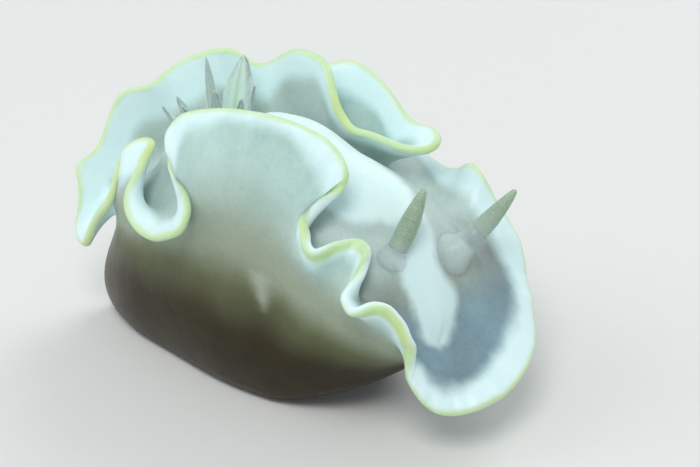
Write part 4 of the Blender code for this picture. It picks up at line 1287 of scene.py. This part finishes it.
def make_gill(name, number, root, tip, out, wide, material):
    """One gill: a pointed plume, ribbed by close-set leaflets whose tips fringe both edges."""
    rng = random.Random(40 + number)
    steps = GILL_STEPS
    line = curve_between(root, tip, -np.asarray(out) * 0.25, steps)
    run = unit(np.gradient(line, axis=0))
    side = unit(np.cross(tip - root, out))
    front = unit(np.cross(side, tip - root))
    radii = np.interp(np.linspace(0, 1, steps), (0, 0.3, 1.0), (0.34, 0.12, 0.03))
    points, faces = ringed_tube(line, radii, 10, side)
    stem = [1.0] * len(points)
    for rib in range(GILL_RIBS):
        place = RIBS_START + RIBBED * (rib + 0.5) / GILL_RIBS
        at = place * (steps - 1)
        low = int(at)
        start = line[low] + (line[low + 1] - line[low]) * (at % 1)
        reach = wide * float(np.interp(place, *PLUME))
        for sign in (-1, 1):
            rise = 1.1 + rng.uniform(-0.1, 0.1)
            way = unit(side * sign + run[low] * rise + front * rng.uniform(-0.1, 0.1))
            end = start + way * (reach * 1.04 * rng.uniform(0.97, 1.03) + 0.03)
            leaf = curve_between(start + way * reach * 0.7, end, run[low] * 0.04, 5)
            thick = 0.045 + 0.045 * reach / max(wide, 0.3)
            more, rings = ringed_tube(leaf, np.array((1.2, 1.2, 1.0, 0.75, 0.35)) * thick, 6, side)
            base = len(points)
            points.extend(more)
            faces.extend([tuple(base + k for k in face) for face in rings])
            stem.extend([0.0] * len(more))
    around = PLUME_SIDES
    base = len(points)
    for p, d, share in zip(line, run, np.linspace(0, 1, steps)):
        half = max(wide * float(np.interp(share, *PLUME)), 0.05)
        for angle in np.linspace(0, 2 * math.pi, around, endpoint=False):
            edge = abs(math.cos(angle))
            rib = math.sin(2 * math.pi * (share - edge * half / 7.0) * GILL_RIBS / RIBBED)
            full = 1 + 0.03 * rib
            thick = 0.10 + 0.20 * half + 0.010 * rib
            across = side * half * full * math.cos(angle) + front * thick * math.sin(angle)
            points.append(p + across + d * half * 0.25 * edge)
    points.extend([line[0], line[-1] + run[-1] * 0.05])
    faces.extend(tube_faces(steps, around, base))
    middle = [max(0.0, 1 - abs(abs(math.cos(2 * math.pi * k / around)) / 0.25)) for k in range(around)]
    stem.extend(middle * steps)
    stem.extend([0.0, 0.0])
    return new_piece(name, points, faces, material, stem=np.array(stem))


def small_tube(name, line, radii, sides, material):
    points, faces = ringed_tube(line, radii, sides, np.array((0.31, 0.77, 0.55)))
    return new_piece(name, points, faces, material, stem=np.zeros(len(points)))


def ride_all(obj, slot, *nodes):
    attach(obj, "root")
    if nodes:
        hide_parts(*nodes)


class SLUG_OT_skin(bpy.types.Operator):
    """Make the one skin that covers head, back, mantle, flanks, foot and tail"""

    bl_idname = "slug.skin"
    bl_label = "Skin"

    def execute(self, context):
        obj = make_skin(context.scene.slug_skin)
        fleshy = [
            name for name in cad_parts
            if name.startswith(("mantle_", "back_", "flank_left", "flank_right"))
            or name in ("head", "foot", "tail", "gill_pocket", "flank_papilla")
        ]
        ride_all(obj, "mantle", *fleshy)
        return {"FINISHED"}


class SLUG_OT_feelers(bpy.types.Operator):
    """Make the two large ringed feelers on the head and their sheaths"""

    bl_idname = "slug.feelers"
    bl_label = "Large feelers"

    def execute(self, context):
        settings = context.scene.slug_feelers
        material = feeler_material(settings)
        skin = bpy.data.objects["slug_skin"]
        tree = surface_tree(skin)
        for side, (root, tip) in (("right", RHINO_RIGHT), ("left", RHINO_LEFT)):
            obj = make_feeler(side, tree, root, tip, settings, material)
            ride_all(obj, "rhinophore", f"rhinophore_{side}")
            sheath = make_sheath(side, skin, tree, root, tip, *SHEATHS[side])
            ride_all(sheath, "mantle", f"rhinophore_sheath_{side}")
        return {"FINISHED"}


class SLUG_OT_gills(bpy.types.Operator):
    """Make the feathery gills and the vent between them"""

    bl_idname = "slug.gills"
    bl_label = "Gills"

    def execute(self, context):
        material = gill_material(context.scene.slug_feelers)
        centre = GILL_CENTRE
        up = unit(np.array(GILL_UP))
        ahead = unit(np.cross((0, 1.0, 0), up))
        aside = np.cross(up, ahead)
        for i, (degrees, reach, height) in enumerate(GILLS):
            angle = math.radians(degrees)
            out = ahead * math.cos(angle) + aside * math.sin(angle)
            level = np.array([math.cos(angle), math.sin(angle), 0.0])
            root = centre + out * GILL_CIRCLE - up * 1.2
            tip = centre + level * reach + np.array([0, 0, height])
            obj = make_gill(f"gill_{i + 1:02d}", i, root, tip, out, GILL_WIDTHS[i], material)
            ride_all(obj, "gill", f"gill_branch_{i + 1:02d}")
        line = curve_between(centre - up, centre + up * 1.5, (0, 0, 0), 24)
        radii = np.interp(np.linspace(0, 1, 24), (0, 0.7, 0.92, 1.0), (0.5, 0.42, 0.38, 0.16))
        vent = small_tube("vent_tube", line, radii, 24, material)
        ride_all(vent, "gill", "vent")
        return {"FINISHED"}


class SLUG_OT_small_parts(bpy.types.Operator):
    """Make the two short feelers beside the mouth"""

    bl_idname = "slug.small_parts"
    bl_label = "Mouth feelers"

    def execute(self, context):
        tree = surface_tree(bpy.data.objects["slug_skin"])
        material = mouth_material()
        ahead = unit(np.array(AHEAD))
        aside = np.array(ASIDE)
        for side, shift in (("right", -MOUTH_GAP / 2), ("left", MOUTH_GAP / 2)):
            start = MOUTH - np.array([0, 0, 0.3]) + ahead * 0.4 + aside * shift
            root = surface_at(tree, start, -ahead)[0]
            tip = root + ahead * 1.2 + aside * shift * 0.5 - np.array([0, 0, 1.0])
            line = curve_between(root - ahead * 0.8, tip, ahead * 0.2, 20)
            radii = np.interp(np.linspace(0, 1, 20), (0, 0.5, 0.9, 1.0), (0.34, 0.36, 0.26, 0.10))
            obj = small_tube(f"mouth_feeler_{side}", line, radii, 24, material)
            ride_all(obj, "body", f"oral_tentacle_{side}")
        return {"FINISHED"}


def area_light(name, place, target, size, power, colour):
    data = bpy.data.lights.new(name, "AREA")
    data.shape = "DISK"
    data.size = size
    data.energy = power
    data.color = colour
    obj = bpy.data.objects.new(name, data)
    bpy.context.scene.collection.objects.link(obj)
    obj.location = place
    way = Vector(target) - Vector(place)
    obj.rotation_euler = way.to_track_quat("-Z", "Y").to_euler()


class SLUG_OT_stage(bpy.types.Operator):
    """Make the floor, the lights and the camera at the photo's angle"""

    bl_idname = "slug.stage"
    bl_label = "Stage"

    def execute(self, context):
        settings = context.scene.slug_stage
        bpy.ops.object.select_all(action="DESELECT")
        bpy.ops.mesh.primitive_plane_add(size=4.0, location=(0, 0, -0.00002))
        floor = context.object
        floor.name = "studio_floor"
        floor.data.materials.append(floor_material(settings))

        for name, place, size, power, share, colour in LIGHTS:
            area_light(name, place, LIT_POINT, size, getattr(settings, power) * share, colour)
        world = bpy.data.worlds.new("Studio")
        context.scene.world = world
        world.use_nodes = True
        world.node_tree.nodes["Background"].inputs["Color"].default_value = WORLD_COLOUR
        world.node_tree.nodes["Background"].inputs["Strength"].default_value = WORLD_STRENGTH

        azimuth = math.radians(CAMERA_ROUND)
        elevation = math.radians(CAMERA_UP)
        back_way = Vector((
            math.sin(azimuth) * math.cos(elevation),
            -math.cos(azimuth) * math.cos(elevation),
            math.sin(elevation)))
        data = bpy.data.cameras.new("Camera")
        data.sensor_width = SENSOR_WIDE
        data.lens = SENSOR_WIDE * CAMERA_AWAY / VIEW_WIDE
        data.clip_start = 0.005
        camera = bpy.data.objects.new("Camera", data)
        context.scene.collection.objects.link(camera)
        camera.location = Vector(CAMERA_AIM) + back_way * CAMERA_AWAY * MM
        camera.rotation_euler = back_way.to_track_quat("Z", "Y").to_euler()
        context.scene.camera = camera
        context.scene.view_settings.view_transform = "Standard"
        return {"FINISHED"}


class SLUG_PT_panel(bpy.types.Panel):
    """Buttons and settings of the sea slug"""

    bl_idname = "SLUG_PT_panel"
    bl_label = "Sea slug"
    bl_space_type = "VIEW_3D"
    bl_region_type = "UI"
    bl_category = "Sea slug"

    def draw(self, context):
        layout = self.layout
        for settings in (context.scene.slug_skin, context.scene.slug_feelers, context.scene.slug_stage):
            box = layout.box()
            for name in settings.bl_rna.properties.keys():
                if name not in ("rna_type", "name"):
                    box.prop(settings, name)
        for operator in OPERATORS:
            layout.operator(operator.bl_idname)


OPERATORS = (SLUG_OT_skin, SLUG_OT_feelers, SLUG_OT_gills, SLUG_OT_small_parts, SLUG_OT_stage)
CLASSES = (SLUG_PG_skin, SLUG_PG_feelers, SLUG_PG_stage, *OPERATORS, SLUG_PT_panel)


def register():
    for item in CLASSES:
        bpy.utils.register_class(item)
    bpy.types.Scene.slug_skin = bpy.props.PointerProperty(type=SLUG_PG_skin)
    bpy.types.Scene.slug_feelers = bpy.props.PointerProperty(type=SLUG_PG_feelers)
    bpy.types.Scene.slug_stage = bpy.props.PointerProperty(type=SLUG_PG_stage)


def unregister():
    del bpy.types.Scene.slug_stage
    del bpy.types.Scene.slug_feelers
    del bpy.types.Scene.slug_skin
    for item in reversed(CLASSES):
        bpy.utils.unregister_class(item)


def main():
    register()
    bpy.ops.slug.skin()
    bpy.ops.slug.feelers()
    bpy.ops.slug.gills()
    bpy.ops.slug.small_parts()
    bpy.ops.slug.stage()


if __name__ == "__main__":
    main()
